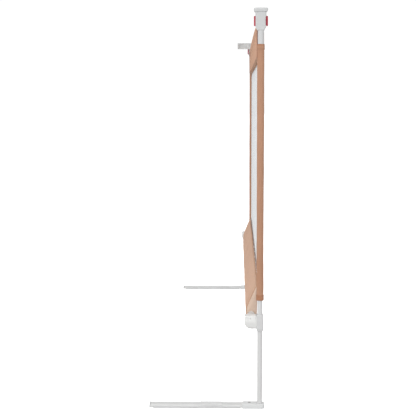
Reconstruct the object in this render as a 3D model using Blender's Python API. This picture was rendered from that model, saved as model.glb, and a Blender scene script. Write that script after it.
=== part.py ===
"""Vertical-lift bed safety rail, about 2 m long.

Two L-shaped stands lie under the mattress. A telescoping upper frame with a
fabric band and mesh slides down over them when the release buttons in its
end caps are pressed, and a lower carriage with a padded bumper is set to the
mattress's height on the same posts.

Metres, +Z up. +Y runs along the rail, -X is the mattress side. The origin is
the centre of the footprint at floor level. Helper functions take millimetres
in a post's own frame: x from the post's axis, y towards the middle of the
rail, z from the floor.
"""

import math

import bmesh
import bpy
from mathutils import Matrix, Vector

# ---- driving dimensions, in millimetres -----------------------------------
POST_X = 130.75            # post axis from the origin
POST_Y = 975.0             # post axis from the middle of the rail
GAP = 0.3                  # clearance between pieces that touch

FOOT_TIP_X = -279.0
FOOT_W, FOOT_T, FOOT_WALL = 33.0, 7.5, 1.2
FOOT_Z = 2.3               # underside of the flat tube
PAD_T = 2.0
BLOCK_X0, BLOCK_X1, BLOCK_HALF_Y, BLOCK_H = -44.0, 12.5, 18.0, 12.0

POST_W, POST_D, POST_WALL = 13.0, 20.0, 1.2
POST_Z0, POST_Z1 = 3.0, 675.0
UPPER_W, UPPER_D = 15.4, 22.4
BORE_W, BORE_D = 13.6, 20.6
UPPER_Z0, UPPER_Z1 = 539.3, 952.0
BUSH_Z0 = 531.0
SLEEVE_Z0, SLEEVE_Z1 = 268.0, 909.0

CAP_Z0, CAP_TAPER_Z, CAP_Z1 = 947.0, 957.0, 992.0
CAP_HALF_Y = 14.0
LID_Z1 = 1002.0
LID_HALF_X, LID_HALF_Y = 17.5, 18.5
BUTTON_Z = 969.6
BUTTON_W, BUTTON_H = 16.0, 24.8
BUTTON_OUT, BUTTON_IN = 17.4, 9.0

TOP_BEAM_R, TOP_BEAM_Z = 7.5, 965.0
BAND_R, BAND_HEM_Z = 8.7, 868.0
LOW_BEAM_R, LOW_BEAM_X, LOW_BEAM_Z = 9.0, -20.5, 218.5
BEAM_END_Y = 960.7

MESH_HALF_Y = 960.5
BUMPER_HALF_Y = 855.0
BRACKET_Z0, BRACKET_Z1 = 197.0, 239.0

LINK_X, LINK_Y = -24.0, 952.6   # pin of the corner link, on the B post
LINK_Z0, LINK_Z1 = 977.5, 1002.0

for old in list(bpy.data.objects):
    bpy.data.objects.remove(old, do_unlink=True)


# ---- materials -------------------------------------------------------------
def material(name, colour, roughness, metallic=0.0):
    m = bpy.data.materials.new(name)
    m.use_nodes = True
    p = m.node_tree.nodes["Principled BSDF"]
    p.inputs["Base Color"].default_value = (*colour, 1.0)
    p.inputs["Roughness"].default_value = roughness
    p.inputs["Metallic"].default_value = metallic
    return m


PAINT = material("white_paint", (0.66, 0.66, 0.66), 0.35)
PLASTIC = material("white_plastic", (0.66, 0.67, 0.67), 0.4)
SHELL = material("bracket_plastic", (0.80, 0.80, 0.78), 0.35)
RED = material("red_plastic", (0.45, 0.03, 0.05), 0.35)
RUBBER = material("grey_rubber", (0.30, 0.30, 0.30), 0.85)
STEEL = material("zinc_steel", (0.60, 0.60, 0.60), 0.3, 1.0)
SLEEVE = material("sleeve_fabric", (0.47, 0.27, 0.17), 0.9)
BAND = material("band_fabric", (0.58, 0.38, 0.26), 0.9)
PAD = material("bumper_fabric", (0.61, 0.40, 0.29), 0.9)
NET = material("mesh_fabric", (0.76, 0.78, 0.79), 0.9)
INNER = material("inner_plastic", (0.35, 0.35, 0.36), 0.5)


# ---- outlines ---------------------------------------------------------------
def rrect(w, h, r, seg=4, cx=0.0, cy=0.0):
    """Rounded rectangle, counter-clockwise, with seg + 1 points a corner."""
    pts = []
    for k, (sx, sy) in enumerate(((1, 1), (-1, 1), (-1, -1), (1, -1))):
        ox, oy = cx + sx * (w / 2 - r), cy + sy * (h / 2 - r)
        for i in range(seg + 1):
            a = math.radians(90 * k + 90 * i / seg)
            pts.append((ox + r * math.cos(a), oy + r * math.sin(a)))
    return pts


def circle(r, n, cx=0.0, cy=0.0):
    return [(cx + r * math.cos(2 * math.pi * i / n), cy + r * math.sin(2 * math.pi * i / n)) for i in range(n)]


def fillet(points, radii, seg=4):
    """A polygon's corners, each rounded by its own radius."""
    out, n = [], len(points)
    for i, (p, r) in enumerate(zip(points, radii)):
        p = Vector(p)
        if r <= 0:
            out.append(tuple(p))
            continue
        a = (Vector(points[i - 1]) - p).normalized()
        b = (Vector(points[(i + 1) % n]) - p).normalized()
        half = a.angle(b) / 2
        d = r / math.tan(half)
        c = p + (a + b).normalized() * (r / math.sin(half))
        s, e = p + a * d - c, p + b * d - c
        turn = math.atan2(s.x * e.y - s.y * e.x, s.dot(e))
        for k in range(seg + 1):
            t = turn * k / seg
            out.append((c.x + s.x * math.cos(t) - s.y * math.sin(t), c.y + s.x * math.sin(t) + s.y * math.cos(t)))
    return out


# ---- solids, as bmeshes in a post's own frame ---------------------------------
def to3(axis, a, p):
    u, v = p
    return {"X": (a, u, v), "Y": (u, a, v), "Z": (u, v, a)}[axis]


def outward(bm):
    bmesh.ops.recalc_face_normals(bm, faces=bm.faces[:])
    if bm.calc_volume(signed=True) < 0:
        bmesh.ops.reverse_faces(bm, faces=bm.faces[:])
    return bm


def loft(axis, sections):
    """A closed solid through outlines with the same number of points."""
    bm = bmesh.new()
    rings = [[bm.verts.new(to3(axis, a, p)) for p in ring] for a, ring in sections]
    n = len(rings[0])
    for lo, hi in zip(rings, rings[1:]):
        for i in range(n):
            bm.faces.new((lo[i], lo[(i + 1) % n], hi[(i + 1) % n], hi[i]))
    bm.faces.new(rings[0][::-1])
    bm.faces.new(rings[-1])
    return outward(bm)


def prism(axis, outline, a0, a1):
    return loft(axis, [(a0, outline), (a1, outline)])


def tube(axis, outer, inner, a0, a1):
    """A straight tube, open at both ends."""
    bm = bmesh.new()
    n = len(outer)
    o0, o1, i0, i1 = ([bm.verts.new(to3(axis, a, p)) for p in ring] for a, ring in ((a0, outer), (a1, outer), (a0, inner), (a1, inner)))
    for i in range(n):
        j = (i + 1) % n
        bm.faces.new((o0[i], o0[j], o1[j], o1[i]))
        bm.faces.new((i0[j], i0[i], i1[i], i1[j]))
        bm.faces.new((o0[j], o0[i], i0[i], i0[j]))
        bm.faces.new((o1[i], o1[j], i1[j], i1[i]))
    return outward(bm)


def turned(axis, profile, n, c=(0.0, 0.0)):
    """A turned solid: profile holds (position along the axis, radius)."""
    return loft(axis, [(a, circle(r, n, *c)) for a, r in profile])


def box(x0, x1, y0, y1, z0, z1):
    return prism("Z", [(x0, y0), (x1, y0), (x1, y1), (x0, y1)], z0, z1)


def spring(cx, cy, z0, z1, r, wire, turns, per_turn=10, sides=5):
    """An open coil of round wire along Z."""
    bm = bmesh.new()
    steps = int(turns * per_turn)
    rings = []
    for k in range(steps + 1):
        t = k / steps
        a = 2 * math.pi * turns * t
        rise = (z1 - z0) / (2 * math.pi * turns)
        c = Vector((cx + r * math.cos(a), cy + r * math.sin(a), z0 + (z1 - z0) * t))
        out = Vector((math.cos(a), math.sin(a), 0))
        along = Vector((-r * math.sin(a), r * math.cos(a), rise)).normalized()
        up = out.cross(along)
        rings.append([bm.verts.new(c + (out * math.cos(b) + up * math.sin(b)) * wire) for b in (2 * math.pi * i / sides for i in range(sides))])
    for lo, hi in zip(rings, rings[1:]):
        for i in range(sides):
            bm.faces.new((lo[i], lo[(i + 1) % sides], hi[(i + 1) % sides], hi[i]))
    bm.faces.new(rings[0][::-1])
    bm.faces.new(rings[-1])
    return outward(bm)


# ---- placing -------------------------------------------------------------------
def frame_of(end):
    """From a post's own frame in mm to the world in m; end is A, B or M."""
    if end == "M":
        return Matrix.Diagonal((0.001, 0.001, 0.001, 1)) @ Matrix.Translation((POST_X, 0, 0))
    s = 1.0 if end == "A" else -1.0
    return Matrix.Diagonal((0.001, 0.001 * s, 0.001, 1)) @ Matrix.Translation((POST_X, -POST_Y, 0))


def as_object(name, bm, end):
    bm.transform(frame_of(end))
    if end == "B":
        bmesh.ops.reverse_faces(bm, faces=bm.faces[:])
    me = bpy.data.meshes.new(name)
    bm.to_mesh(me)
    bm.free()
    ob = bpy.data.objects.new(name, me)
    bpy.context.scene.collection.objects.link(ob)
    return ob


def combine(ob, bm, end, how):
    """Cuts or adds a solid with an exact boolean, and drops the tool."""
    tool = as_object("tool", bm, end)
    m = ob.modifiers.new("b", "BOOLEAN")
    m.operation, m.object, m.solver = how, tool, "EXACT"
    dg = bpy.context.evaluated_depsgraph_get()
    me = bpy.data.meshes.new_from_object(ob.evaluated_get(dg))
    ob.modifiers.clear()
    old, ob.data = ob.data, me
    bpy.data.meshes.remove(old)
    bpy.data.objects.remove(tool, do_unlink=True)


def piece(name, bm, end, mat, cuts=(), adds=(), origin=None):
    """One named piece: a solid, what is added to it, then what is cut from it."""
    ob = as_object(name, bm, end)
    for a in adds:
        combine(ob, a, end, "UNION")
    for c in cuts:
        combine(ob, c, end, "DIFFERENCE")
    ob.data.materials.clear()
    ob.data.materials.append(mat)
    for p in ob.data.polygons:
        p.material_index = 0
    if origin is not None:
        at = frame_of(end) @ Vector(origin)
        ob.data.transform(Matrix.Translation(-at))
        ob.location = at
    ob.data.shade_smooth()
    ob.data.set_sharp_from_angle(angle=math.radians(32))
    return ob


def screw(axis, c, head_a, head_r, head_t, shank_r, shank_l, n=10):
    """A pan-head screw; head_t is signed along the axis, the shank goes back."""
    s = 1 if head_t > 0 else -1
    prof = [(head_a - s * shank_l, shank_r * 0.6), (head_a - s * (shank_l - 1), shank_r), (head_a, shank_r), (head_a, head_r),
            (head_a + 0.6 * head_t, head_r), (head_a + head_t, head_r * 0.6)]
    if s < 0:
        prof = prof[::-1]
    return turned(axis, prof, n, c)


LOW_OUT, LOW_IN = rrect(POST_W, POST_D, 5.5), rrect(POST_W - 2 * POST_WALL, POST_D - 2 * POST_WALL, 4.3)
UP_OUT, UP_IN = rrect(UPPER_W, UPPER_D, 6.4), rrect(BORE_W, BORE_D, 5.5)
BAR_MID_Z = FOOT_Z + FOOT_T / 2
SCREW_X = -26.0

for end, tag in (("A", "a"), ("B", "b")):
    # ---- stand: flat tube, rubber strip, end cap, clip-on grip and corner ----
    piece("foot_bar_" + tag, tube("X", rrect(FOOT_W, FOOT_T, 2.6, 3, 0, BAR_MID_Z),
                                  rrect(FOOT_W - 2 * FOOT_WALL, FOOT_T - 2 * FOOT_WALL, 1.4, 3, 0, BAR_MID_Z), -276.0, -9.0),
          end, PAINT, cuts=[prism("Z", circle(2.0, 10, SCREW_X, 0), 7.0, 11.0)])
    piece("foot_tip_cap_" + tag, loft("X", [
        (FOOT_TIP_X, rrect(32.6, 7.8, 2.4, 3, 0, BAR_MID_Z)), (-277.8, rrect(35.0, 10.1, 3.4, 3, 0, BAR_MID_Z)),
        (-276.3, rrect(35.0, 10.1, 3.4, 3, 0, BAR_MID_Z)), (-276.3, rrect(29.8, 4.4, 1.1, 3, 0, BAR_MID_Z)),
        (-262.0, rrect(29.2, 4.0, 1.0, 3, 0, BAR_MID_Z))]), end, PLASTIC)
    piece("foot_pad_" + tag, loft("Z", [
        (0.0, rrect(221.0, 28.0, 3.0, 3, -159.0, 0)), (0.6, rrect(222.0, 29.0, 3.5, 3, -159.0, 0)),
        (PAD_T, rrect(222.0, 29.0, 3.5, 3, -159.0, 0))]), end, RUBBER)
    piece("foot_grip_" + tag, prism("X", fillet(
        [(-18.1, 2.6), (-16.9, 2.6), (-16.9, 10.2), (16.9, 10.2), (16.9, 2.6), (18.1, 2.6), (18.1, 11.5), (-18.1, 11.5)],
        [0, 0, 2.2, 2.2, 0, 0, 3.4, 3.4], 3), -150.0, -95.0), end, RUBBER)
    block_out = lambda inset: fillet(
        [(BLOCK_X0 + inset, -BLOCK_HALF_Y + inset), (BLOCK_X1 - inset, -BLOCK_HALF_Y + inset),
         (BLOCK_X1 - inset, BLOCK_HALF_Y - inset), (BLOCK_X0 + inset, BLOCK_HALF_Y - inset)], [3.5, 9.0, 9.0, 3.5], 4)
    piece("corner_block_" + tag, loft("Z", [(0.0, block_out(0.6)), (0.8, block_out(0.0)), (10.4, block_out(0.0)), (BLOCK_H, block_out(1.4))]),
          end, PLASTIC, cuts=[
              prism("X", rrect(33.6, 8.1, 2.8, 3, 0, BAR_MID_Z), -50.0, -8.7),
              prism("Z", rrect(BORE_W, BORE_D, 5.8), POST_Z0 - GAP, 14.0),
              prism("Z", circle(2.0, 10, SCREW_X, 0), 9.0, 14.0)])
    piece("corner_screw_" + tag, screw("Z", (SCREW_X, 0), BLOCK_H + GAP, 3.6, 1.6, 1.6, 5.0), end, STEEL)

    # ---- fixed post, with height holes on its inner face ----
    piece("lower_post_" + tag, tube("Z", LOW_OUT, LOW_IN, POST_Z0, POST_Z1), end, PAINT,
          cuts=[prism("Y", circle(2.5, 10, 0, z), 6.0, 12.0) for z in (140.0, 160.0, 180.0, 200.0, 220.0, 240.0)])
    piece("post_top_plug_" + tag, loft("Z", [
        (655.0, rrect(9.4, 16.4, 3.6)), (657.0, rrect(10.0, 17.0, 4.0)), (POST_Z1 + GAP, rrect(10.0, 17.0, 4.0)),
        (POST_Z1 + GAP, rrect(POST_W, POST_D, 5.5)), (677.0, rrect(POST_W, POST_D, 5.5)), (678.0, rrect(11.4, 18.4, 4.8))]), end, INNER,
          cuts=[prism("Z", circle(3.0, 12), 650.0, 680.0), prism("Y", circle(2.8, 12, 0, 667.0), 1.0, 9.5)])
    piece("lock_pin_" + tag, turned("Y", [(2.5, 1.4), (3.4, 2.4), (8.2, 2.4)], 12, (0, 667.0)), end, STEEL)

    # ---- fabric sleeve over the post ----
    piece("post_sleeve_" + tag, tube("Z", rrect(17.4, 24.4, 7.2), rrect(16.2, 23.2, 6.7), SLEEVE_Z0, SLEEVE_Z1), end, SLEEVE)

    # ---- sliding post and its bush ----
    piece("upper_post_" + tag, tube("Z", UP_OUT, UP_IN, UPPER_Z0, UPPER_Z1), end, PAINT)
    piece("post_bush_" + tag, tube("Z", UP_OUT, UP_IN, BUSH_Z0, UPPER_Z0 - GAP), end, INNER)

    # ---- end cap: body, side cover and lid ----
    low = rrect(18.6, 24.8, 5.0)
    high = rrect(23.3, 2 * CAP_HALF_Y, 4.0, 4, -1.65, 0)
    piece("cap_body_" + tag, loft("Z", [(CAP_Z0, low), (CAP_TAPER_Z, high), (CAP_Z1, high)]), end, PLASTIC,
          adds=[turned("Y", [(12.0, 6.1), (29.0, 6.1), (30.0, 5.3)], 20, (0, TOP_BEAM_Z))],
          cuts=[prism("Z", rrect(16.0, 23.0, 6.6), CAP_Z0 - 2, UPPER_Z1 + GAP),
                prism("X", rrect(BUTTON_W + 0.6, BUTTON_H + 0.6, 2.8, 3, 0, BUTTON_Z), -20.0, 20.0),
                prism("Z", circle(2.6, 12), 950.0, 960.0)])
    piece("cap_cover_" + tag, prism("Y", fillet(
        [(10.3, 952.5), (13.3, CAP_TAPER_Z), (13.3, 991.9), (10.3, 991.9)], [0, 0, 1.2, 0], 3), -CAP_HALF_Y, CAP_HALF_Y), end, PLASTIC,
          cuts=[prism("X", rrect(BUTTON_W + 0.6, BUTTON_H + 0.6, 2.8, 3, 0, BUTTON_Z), 5.0, 20.0)])
    lid = lambda inset, r: rrect(2 * (LID_HALF_X - inset), 2 * (LID_HALF_Y - inset), r)
    piece("cap_lid_" + tag, loft("Z", [(CAP_Z1 + GAP, lid(0.5, 4.6)), (992.9, lid(0.0, 5.0)), (999.2, lid(0.0, 5.0)), (1001.2, lid(0.9, 4.4)), (LID_Z1, lid(2.6, 3.0))]), end, PLASTIC)

    # ---- the two release buttons, the rod that they lift, and its spring ----
    face = lambda inset: rrect(BUTTON_W - 2 * inset, BUTTON_H - 2 * inset, 2.5 - inset * 0.5, 3, 0, BUTTON_Z)
    for side, s in (("bed", -1), ("room", 1)):
        secs = [(s * BUTTON_IN, face(0.0)), (s * (BUTTON_OUT - 1.3), face(0.0)), (s * (BUTTON_OUT - 0.4), face(0.5)), (s * BUTTON_OUT, face(1.4))]
        piece("release_button_%s_%s" % (tag, side), loft("X", secs), end, RED, origin=(s * BUTTON_IN, 0, BUTTON_Z))
    groove = lambda z: [(z - 2.6, 2.0), (z - 2.0, 1.4), (z + 2.0, 1.4), (z + 2.6, 2.0)]
    piece("release_rod_" + tag, turned("Z", [(640.0, 1.2), (642.0, 2.0), *groove(667.0), *groove(937.0), (963.0, 2.0)], 10), end, STEEL,
          adds=[prism("Z", rrect(8.0, 12.0, 1.5, 2), 962.0, 974.0)], origin=(0, 0, 974.0))
    piece("rod_spring_" + tag, spring(0, 0, 974.75, 981.55, 3.3, 0.4, 3.5), end, STEEL)

    # ---- halves of the two long beams ----
    piece("top_beam_" + tag, tube("Y", circle(TOP_BEAM_R, 24, 0, TOP_BEAM_Z), circle(TOP_BEAM_R - 1, 24, 0, TOP_BEAM_Z),
                                  POST_Y - BEAM_END_Y, POST_Y - 0.2), end, PAINT)
    piece("bottom_beam_" + tag, tube("Y", circle(LOW_BEAM_R, 24, LOW_BEAM_X, LOW_BEAM_Z), circle(LOW_BEAM_R - 1, 24, LOW_BEAM_X, LOW_BEAM_Z),
                                     13.8, POST_Y - 0.2), end, PAINT)

    # ---- height bracket: collar round the post, beam housing and cover ----
    outline = fillet([(9.0, BRACKET_Z0), (9.0, BRACKET_Z1), (-9.0, BRACKET_Z1), (-9.0, 237.0), (-39.0, 237.0), (-39.0, 202.0), (-9.0, 202.0), (-9.0, BRACKET_Z0)],
                     [1.5, 1.5, 0.8, 0, 3.0, 12.0, 0, 0.8], 4)
    piece("height_bracket_" + tag, prism("Y", outline, -13.5, 13.5), end, SHELL,
          adds=[turned("Y", [(12.0, 7.0), (16.4, 7.0), (17.0, 6.4)], 20, (1.0, 220.0)),
                turned("Y", [(12.0, 7.6), (26.0, 7.6), (27.0, 6.8)], 20, (LOW_BEAM_X, LOW_BEAM_Z))],
          cuts=[prism("Z", rrect(BORE_W, BORE_D, 5.8), 190.0, 245.0),
                prism("Y", circle(5.05, 16, 1.0, 220.0), 11.8, 18.0),
                prism("Y", circle(1.5, 10, -25.0, 229.0), -14.5, -5.0)])
    piece("bracket_cover_" + tag, loft("Y", [(a, fillet([(-9.9 - i, 236.2 - i), (-38.2 + i, 236.2 - i), (-38.2 + i, 202.8 + i), (-9.9 - i, 202.8 + i)], [1.5, 2.5, 11.4, 1.5], 4))
                                             for a, i in ((-16.0, 1.2), (-15.2, 0.2), (-13.8, 0.0))]), end, SHELL,
          cuts=[prism("Y", circle(1.5, 10, -25.0, 229.0), -17.0, -13.0)])
    piece("bracket_screw_" + tag, screw("Y", (-25.0, 229.0), -16.3, 3.0, -1.2, 1.1, 9.0), end, STEEL)
    piece("adjust_button_" + tag, turned("Y", [(14.2, 4.6), (18.6, 4.6), (19.5, 3.6)], 16, (1.0, 220.0)), end, RED, origin=(1.0, 14.2, 220.0))

# ---- joiners inside the beams ----
piece("top_beam_joiner", tube("Y", circle(6.1, 20, 0, TOP_BEAM_Z), circle(5.0, 20, 0, TOP_BEAM_Z), -60.0, 60.0), "M", STEEL)
piece("bottom_beam_joiner", tube("Y", circle(7.6, 20, LOW_BEAM_X, LOW_BEAM_Z), circle(6.4, 20, LOW_BEAM_X, LOW_BEAM_Z), -60.0, 60.0), "M", STEEL)

# ---- padded fabric band over the top beam, down to the hem where the mesh starts ----
band = [(BAND_R * math.cos(math.pi * i / 12), TOP_BEAM_Z + BAND_R * math.sin(math.pi * i / 12)) for i in range(13)]
band += fillet([(-BAND_R, BAND_HEM_Z), (BAND_R, BAND_HEM_Z), (BAND_R, TOP_BEAM_Z - 20)], [6.5, 6.5, 0], 4)
piece("top_band", prism("Y", band, -MESH_HALF_Y, MESH_HALF_Y), "M", BAND,
      cuts=[prism("Y", circle(8.0, 24, 0, TOP_BEAM_Z), -1000.0, 1000.0)])

# ---- mesh, in two flat layers that slide past each other as the rail drops ----
piece("mesh_panel_upper", box(-0.6, 0.6, -MESH_HALF_Y, MESH_HALF_Y, 590.0, BAND_HEM_Z - GAP), "M", NET)
piece("mesh_panel_lower", box(-2.4, -1.2, -MESH_HALF_Y - 1.9, MESH_HALF_Y + 1.9, 283.0, 597.0), "M", NET)

# ---- padded bumper: a wedge with its thick edge down, round the bottom beam ----
wedge = fillet([(-7.5, 309.0), (-10.5, 309.0), (-33.4, 238.0), (-34.8, 207.0), (-9.0, 207.0)], [1.0, 1.5, 30.0, 3.0, 1.5], 4)
piece("bumper", prism("Y", wedge, -BUMPER_HALF_Y, BUMPER_HALF_Y), "M", PAD,
      cuts=[prism("Y", circle(9.4, 24, LOW_BEAM_X, LOW_BEAM_Z), -1000.0, 1000.0)])

# ---- folding corner link on the B cap, which joins a rail across the bed's end ----
def link_outline(x_end, half, r_end):
    """From the pin's round end to x_end."""
    s = 1 if x_end > LINK_X else -1
    arc = [(LINK_X - s * r_end * math.sin(t), LINK_Y + r_end * math.cos(t)) for t in (math.pi * i / 8 for i in range(9))]
    return [(x_end, LINK_Y - half), (x_end, LINK_Y + half)] + arc


piece("link_base", prism("Z", link_outline(13.0, 3.6, 3.6), LINK_Z0, LINK_Z1), "M", PLASTIC,
      adds=[box(-8.0, 8.0, 955.0, 960.7, 980.0, 991.9)],
      cuts=[box(-30.0, -19.6, 940.0, 965.0, 984.1, 995.4), prism("Z", circle(2.3, 12, LINK_X, LINK_Y), 970.0, 1010.0)])
piece("link_arm", prism("Z", link_outline(-30.0, 3.3, 3.3), 984.4, 995.1), "M", PLASTIC,
      adds=[loft("X", [(-58.0, rrect(5.6, 23.5, 1.2, 3, LINK_Y, 989.75)), (-57.2, rrect(6.8, 24.5, 1.6, 3, LINK_Y, 989.75)), (-28.6, rrect(6.8, 24.5, 1.6, 3, LINK_Y, 989.75))]),
            loft("Y", [(943.0, rrect(3.6, 18.0, 1.0, 3, -55.6, 989.75)), (950.0, rrect(3.6, 18.0, 1.0, 3, -55.6, 989.75))])],
      cuts=[prism("Z", circle(2.3, 12, LINK_X, LINK_Y), 970.0, 1010.0)], origin=(LINK_X, LINK_Y, 989.75))
piece("link_pin", turned("Z", [(977.8, 1.5), (978.3, 1.9), (1001.2, 1.9), (1001.7, 1.5)], 12, (LINK_X, LINK_Y)), "M", STEEL)
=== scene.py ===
"""Looks for the vertical-lift bed safety rail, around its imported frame.

Lengths in helper calls are millimetres in a post's own frame, as in part.py:
x from the post's axis, y towards the middle of the rail, z from the floor.
"""
import math

import bmesh
import bpy
import numpy as np
from mathutils import Matrix, Vector

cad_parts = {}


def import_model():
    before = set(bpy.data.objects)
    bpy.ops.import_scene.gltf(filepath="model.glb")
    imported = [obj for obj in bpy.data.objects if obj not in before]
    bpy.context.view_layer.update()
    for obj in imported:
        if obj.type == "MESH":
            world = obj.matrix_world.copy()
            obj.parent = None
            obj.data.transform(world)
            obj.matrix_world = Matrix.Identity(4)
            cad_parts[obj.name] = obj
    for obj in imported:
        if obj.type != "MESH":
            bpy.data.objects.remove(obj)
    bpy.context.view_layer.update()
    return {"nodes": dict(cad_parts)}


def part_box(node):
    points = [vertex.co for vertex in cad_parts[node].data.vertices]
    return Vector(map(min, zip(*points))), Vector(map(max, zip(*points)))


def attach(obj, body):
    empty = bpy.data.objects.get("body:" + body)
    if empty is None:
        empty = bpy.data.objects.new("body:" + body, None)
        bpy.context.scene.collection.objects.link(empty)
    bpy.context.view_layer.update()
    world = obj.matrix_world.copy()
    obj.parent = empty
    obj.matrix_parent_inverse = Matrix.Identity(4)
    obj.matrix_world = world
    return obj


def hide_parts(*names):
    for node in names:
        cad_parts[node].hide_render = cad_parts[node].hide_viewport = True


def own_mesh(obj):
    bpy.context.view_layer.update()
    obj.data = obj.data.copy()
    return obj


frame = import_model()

# ---------------------------------------------------------------- dimensions
lo_a, hi_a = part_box("lower_post_a")
POST_X = (lo_a.x + hi_a.x) / 2 * 1000
POST_Y = -(lo_a.y + hi_a.y) / 2 * 1000
BAR_Z = 6.05
BUTTON_Z = 969.6
TOP_BEAM_Z = 965.0
BAND_R, BAND_HEM_Z = 8.3, 876.0
LOW_BEAM_X, LOW_BEAM_Z = -20.5, 218.5
LINK_X, LINK_Y = -24.0, 952.6
MESH_Z0 = 283.0


# ---------------------------------------------------------------- node helpers
class Tree:
    """Short calls for building a material's nodes."""

    def __init__(self, name):
        self.mat = bpy.data.materials.new(name)
        self.mat.use_nodes = True
        self.nt = self.mat.node_tree
        self.bsdf = self.nt.nodes["Principled BSDF"]

    def node(self, kind, **props):
        n = self.nt.nodes.new(kind)
        for k, v in props.items():
            setattr(n, k, v)
        return n

    def link(self, a, b):
        self.nt.links.new(a, b)

    def put(self, socket, value):
        if isinstance(value, bpy.types.NodeSocket):
            self.link(value, socket)
        else:
            socket.default_value = value

    def math(self, op, a, b=0.0, c=0.0, clamp=False):
        n = self.node("ShaderNodeMath", operation=op, use_clamp=clamp)
        for s, v in zip(n.inputs, (a, b, c)):
            self.put(s, v)
        return n.outputs[0]

    def vmath(self, op, a, b=(0, 0, 0)):
        n = self.node("ShaderNodeVectorMath", operation=op)
        self.put(n.inputs[0], a)
        if op not in ("LENGTH", "FRACTION"):
            self.put(n.inputs[1], b)
        return n.outputs["Value" if op in ("LENGTH", "DOT_PRODUCT") else "Vector"]

    def coords(self, kind="Object"):
        return self.node("ShaderNodeTexCoord").outputs[kind]

    def noise(self, vec, scale, detail=3.0, rough=0.5, distortion=0.0):
        n = self.node("ShaderNodeTexNoise")
        self.link(vec, n.inputs["Vector"])
        n.inputs["Scale"].default_value = scale
        n.inputs["Detail"].default_value = detail
        n.inputs["Roughness"].default_value = rough
        n.inputs["Distortion"].default_value = distortion
        return n.outputs["Fac"]

    def ramp(self, value, lo, hi, out_lo=0.0, out_hi=1.0):
        n = self.node("ShaderNodeMapRange")
        self.put(n.inputs["Value"], value)
        for k, v in zip(("From Min", "From Max", "To Min", "To Max"), (lo, hi, out_lo, out_hi)):
            n.inputs[k].default_value = v
        return n.outputs[0]

    def mix(self, fac, a, b):
        n = self.node("ShaderNodeMix", data_type="RGBA")
        self.put(n.inputs[0], fac)
        for s, v in ((n.inputs[6], a), (n.inputs[7], b)):
            self.put(s, (*v, 1.0) if isinstance(v, tuple) else v)
        return n.outputs[2]

    def bump(self, height, strength, distance, normal=None):
        n = self.node("ShaderNodeBump")
        self.link(height, n.inputs["Height"])
        n.inputs["Strength"].default_value = strength
        n.inputs["Distance"].default_value = distance
        if normal is not None:
            self.link(normal, n.inputs["Normal"])
        return n.outputs[0]

    def scaled(self, vec, s):
        n = self.node("ShaderNodeMapping")
        self.link(vec, n.inputs["Vector"])
        n.inputs["Scale"].default_value = s
        return n.outputs[0]


def shade(c, k):
    return tuple(min(1.0, max(0.0, x * k)) for x in c)


def plastic(name, colour, rough, grain=0.05, coat=0.0, wear=0.05):
    """Moulded plastic: fine spark-eroded grain, soft flow marks, slightly rubbed edges."""
    t = Tree(name)
    o = t.coords()
    cloud = t.noise(o, 9.0, 3.0)
    fine = t.noise(o, 1500.0, 2.0, 0.6)
    flow = t.noise(t.scaled(o, (14.0, 14.0, 60.0)), 1.0, 2.0, 0.5, 0.6)
    tone = t.math("ADD", t.math("MULTIPLY", cloud, 0.6), t.math("MULTIPLY", flow, 0.4))
    base = t.mix(t.ramp(tone, 0.35, 0.65), shade(colour, 0.96), shade(colour, 1.03))
    edge = t.node("ShaderNodeNewGeometry").outputs["Pointiness"]
    rub = t.math("MULTIPLY", t.ramp(edge, 0.52, 0.60), t.ramp(t.noise(o, 160.0, 3.0), 0.4, 0.7))
    rub = t.math("MULTIPLY", rub, wear, clamp=True)
    t.link(t.mix(rub, base, shade(colour, 1.18)), t.bsdf.inputs["Base Color"])
    r = t.math("ADD", t.ramp(cloud, 0.3, 0.7, rough - 0.04, rough + 0.05), t.ramp(fine, 0.3, 0.7, -0.02, 0.03))
    t.link(r, t.bsdf.inputs["Roughness"])
    t.link(t.bump(fine, grain, 0.0002), t.bsdf.inputs["Normal"])
    t.bsdf.inputs["IOR"].default_value = 1.49
    if coat:
        t.bsdf.inputs["Coat Weight"].default_value = coat
        t.bsdf.inputs["Coat Roughness"].default_value = 0.12
    return t.mat


def paint(name, colour, rough):
    """Powder coat on steel tube: orange peel, tiny specks, dull smudges along the tube."""
    t = Tree(name)
    o = t.coords()
    peel = t.noise(o, 420.0, 2.0, 0.45)
    smudge = t.noise(t.scaled(o, (18.0, 3.0, 5.0)), 1.0, 4.0, 0.6)
    speck = t.ramp(t.noise(o, 2600.0, 1.0), 0.70, 0.76)
    base = t.mix(t.ramp(smudge, 0.35, 0.7), shade(colour, 1.02), shade(colour, 0.965))
    t.link(t.mix(t.math("MULTIPLY", speck, 0.25), base, shade(colour, 0.8)), t.bsdf.inputs["Base Color"])
    t.link(t.ramp(smudge, 0.3, 0.7, rough - 0.05, rough + 0.07), t.bsdf.inputs["Roughness"])
    t.link(t.bump(peel, 0.10, 0.0003), t.bsdf.inputs["Normal"])
    t.bsdf.inputs["Coat Weight"].default_value = 0.25
    t.bsdf.inputs["Coat Roughness"].default_value = 0.18
    return t.mat


def metal(name, colour, rough):
    """Zinc-plated steel: fine turned lines and a mottled, slightly cloudy finish."""
    t = Tree(name)
    o = t.coords()
    cloud = t.noise(o, 220.0, 4.0, 0.6)
    lines = t.noise(t.scaled(o, (300.0, 300.0, 5200.0)), 1.0, 2.0)
    t.link(t.mix(t.ramp(cloud, 0.35, 0.65), shade(colour, 0.82), shade(colour, 1.08)), t.bsdf.inputs["Base Color"])
    t.link(t.ramp(cloud, 0.3, 0.7, rough - 0.06, rough + 0.12), t.bsdf.inputs["Roughness"])
    t.link(t.bump(lines, 0.08, 0.0001), t.bsdf.inputs["Normal"])
    t.bsdf.inputs["Metallic"].default_value = 1.0
    return t.mat


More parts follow.
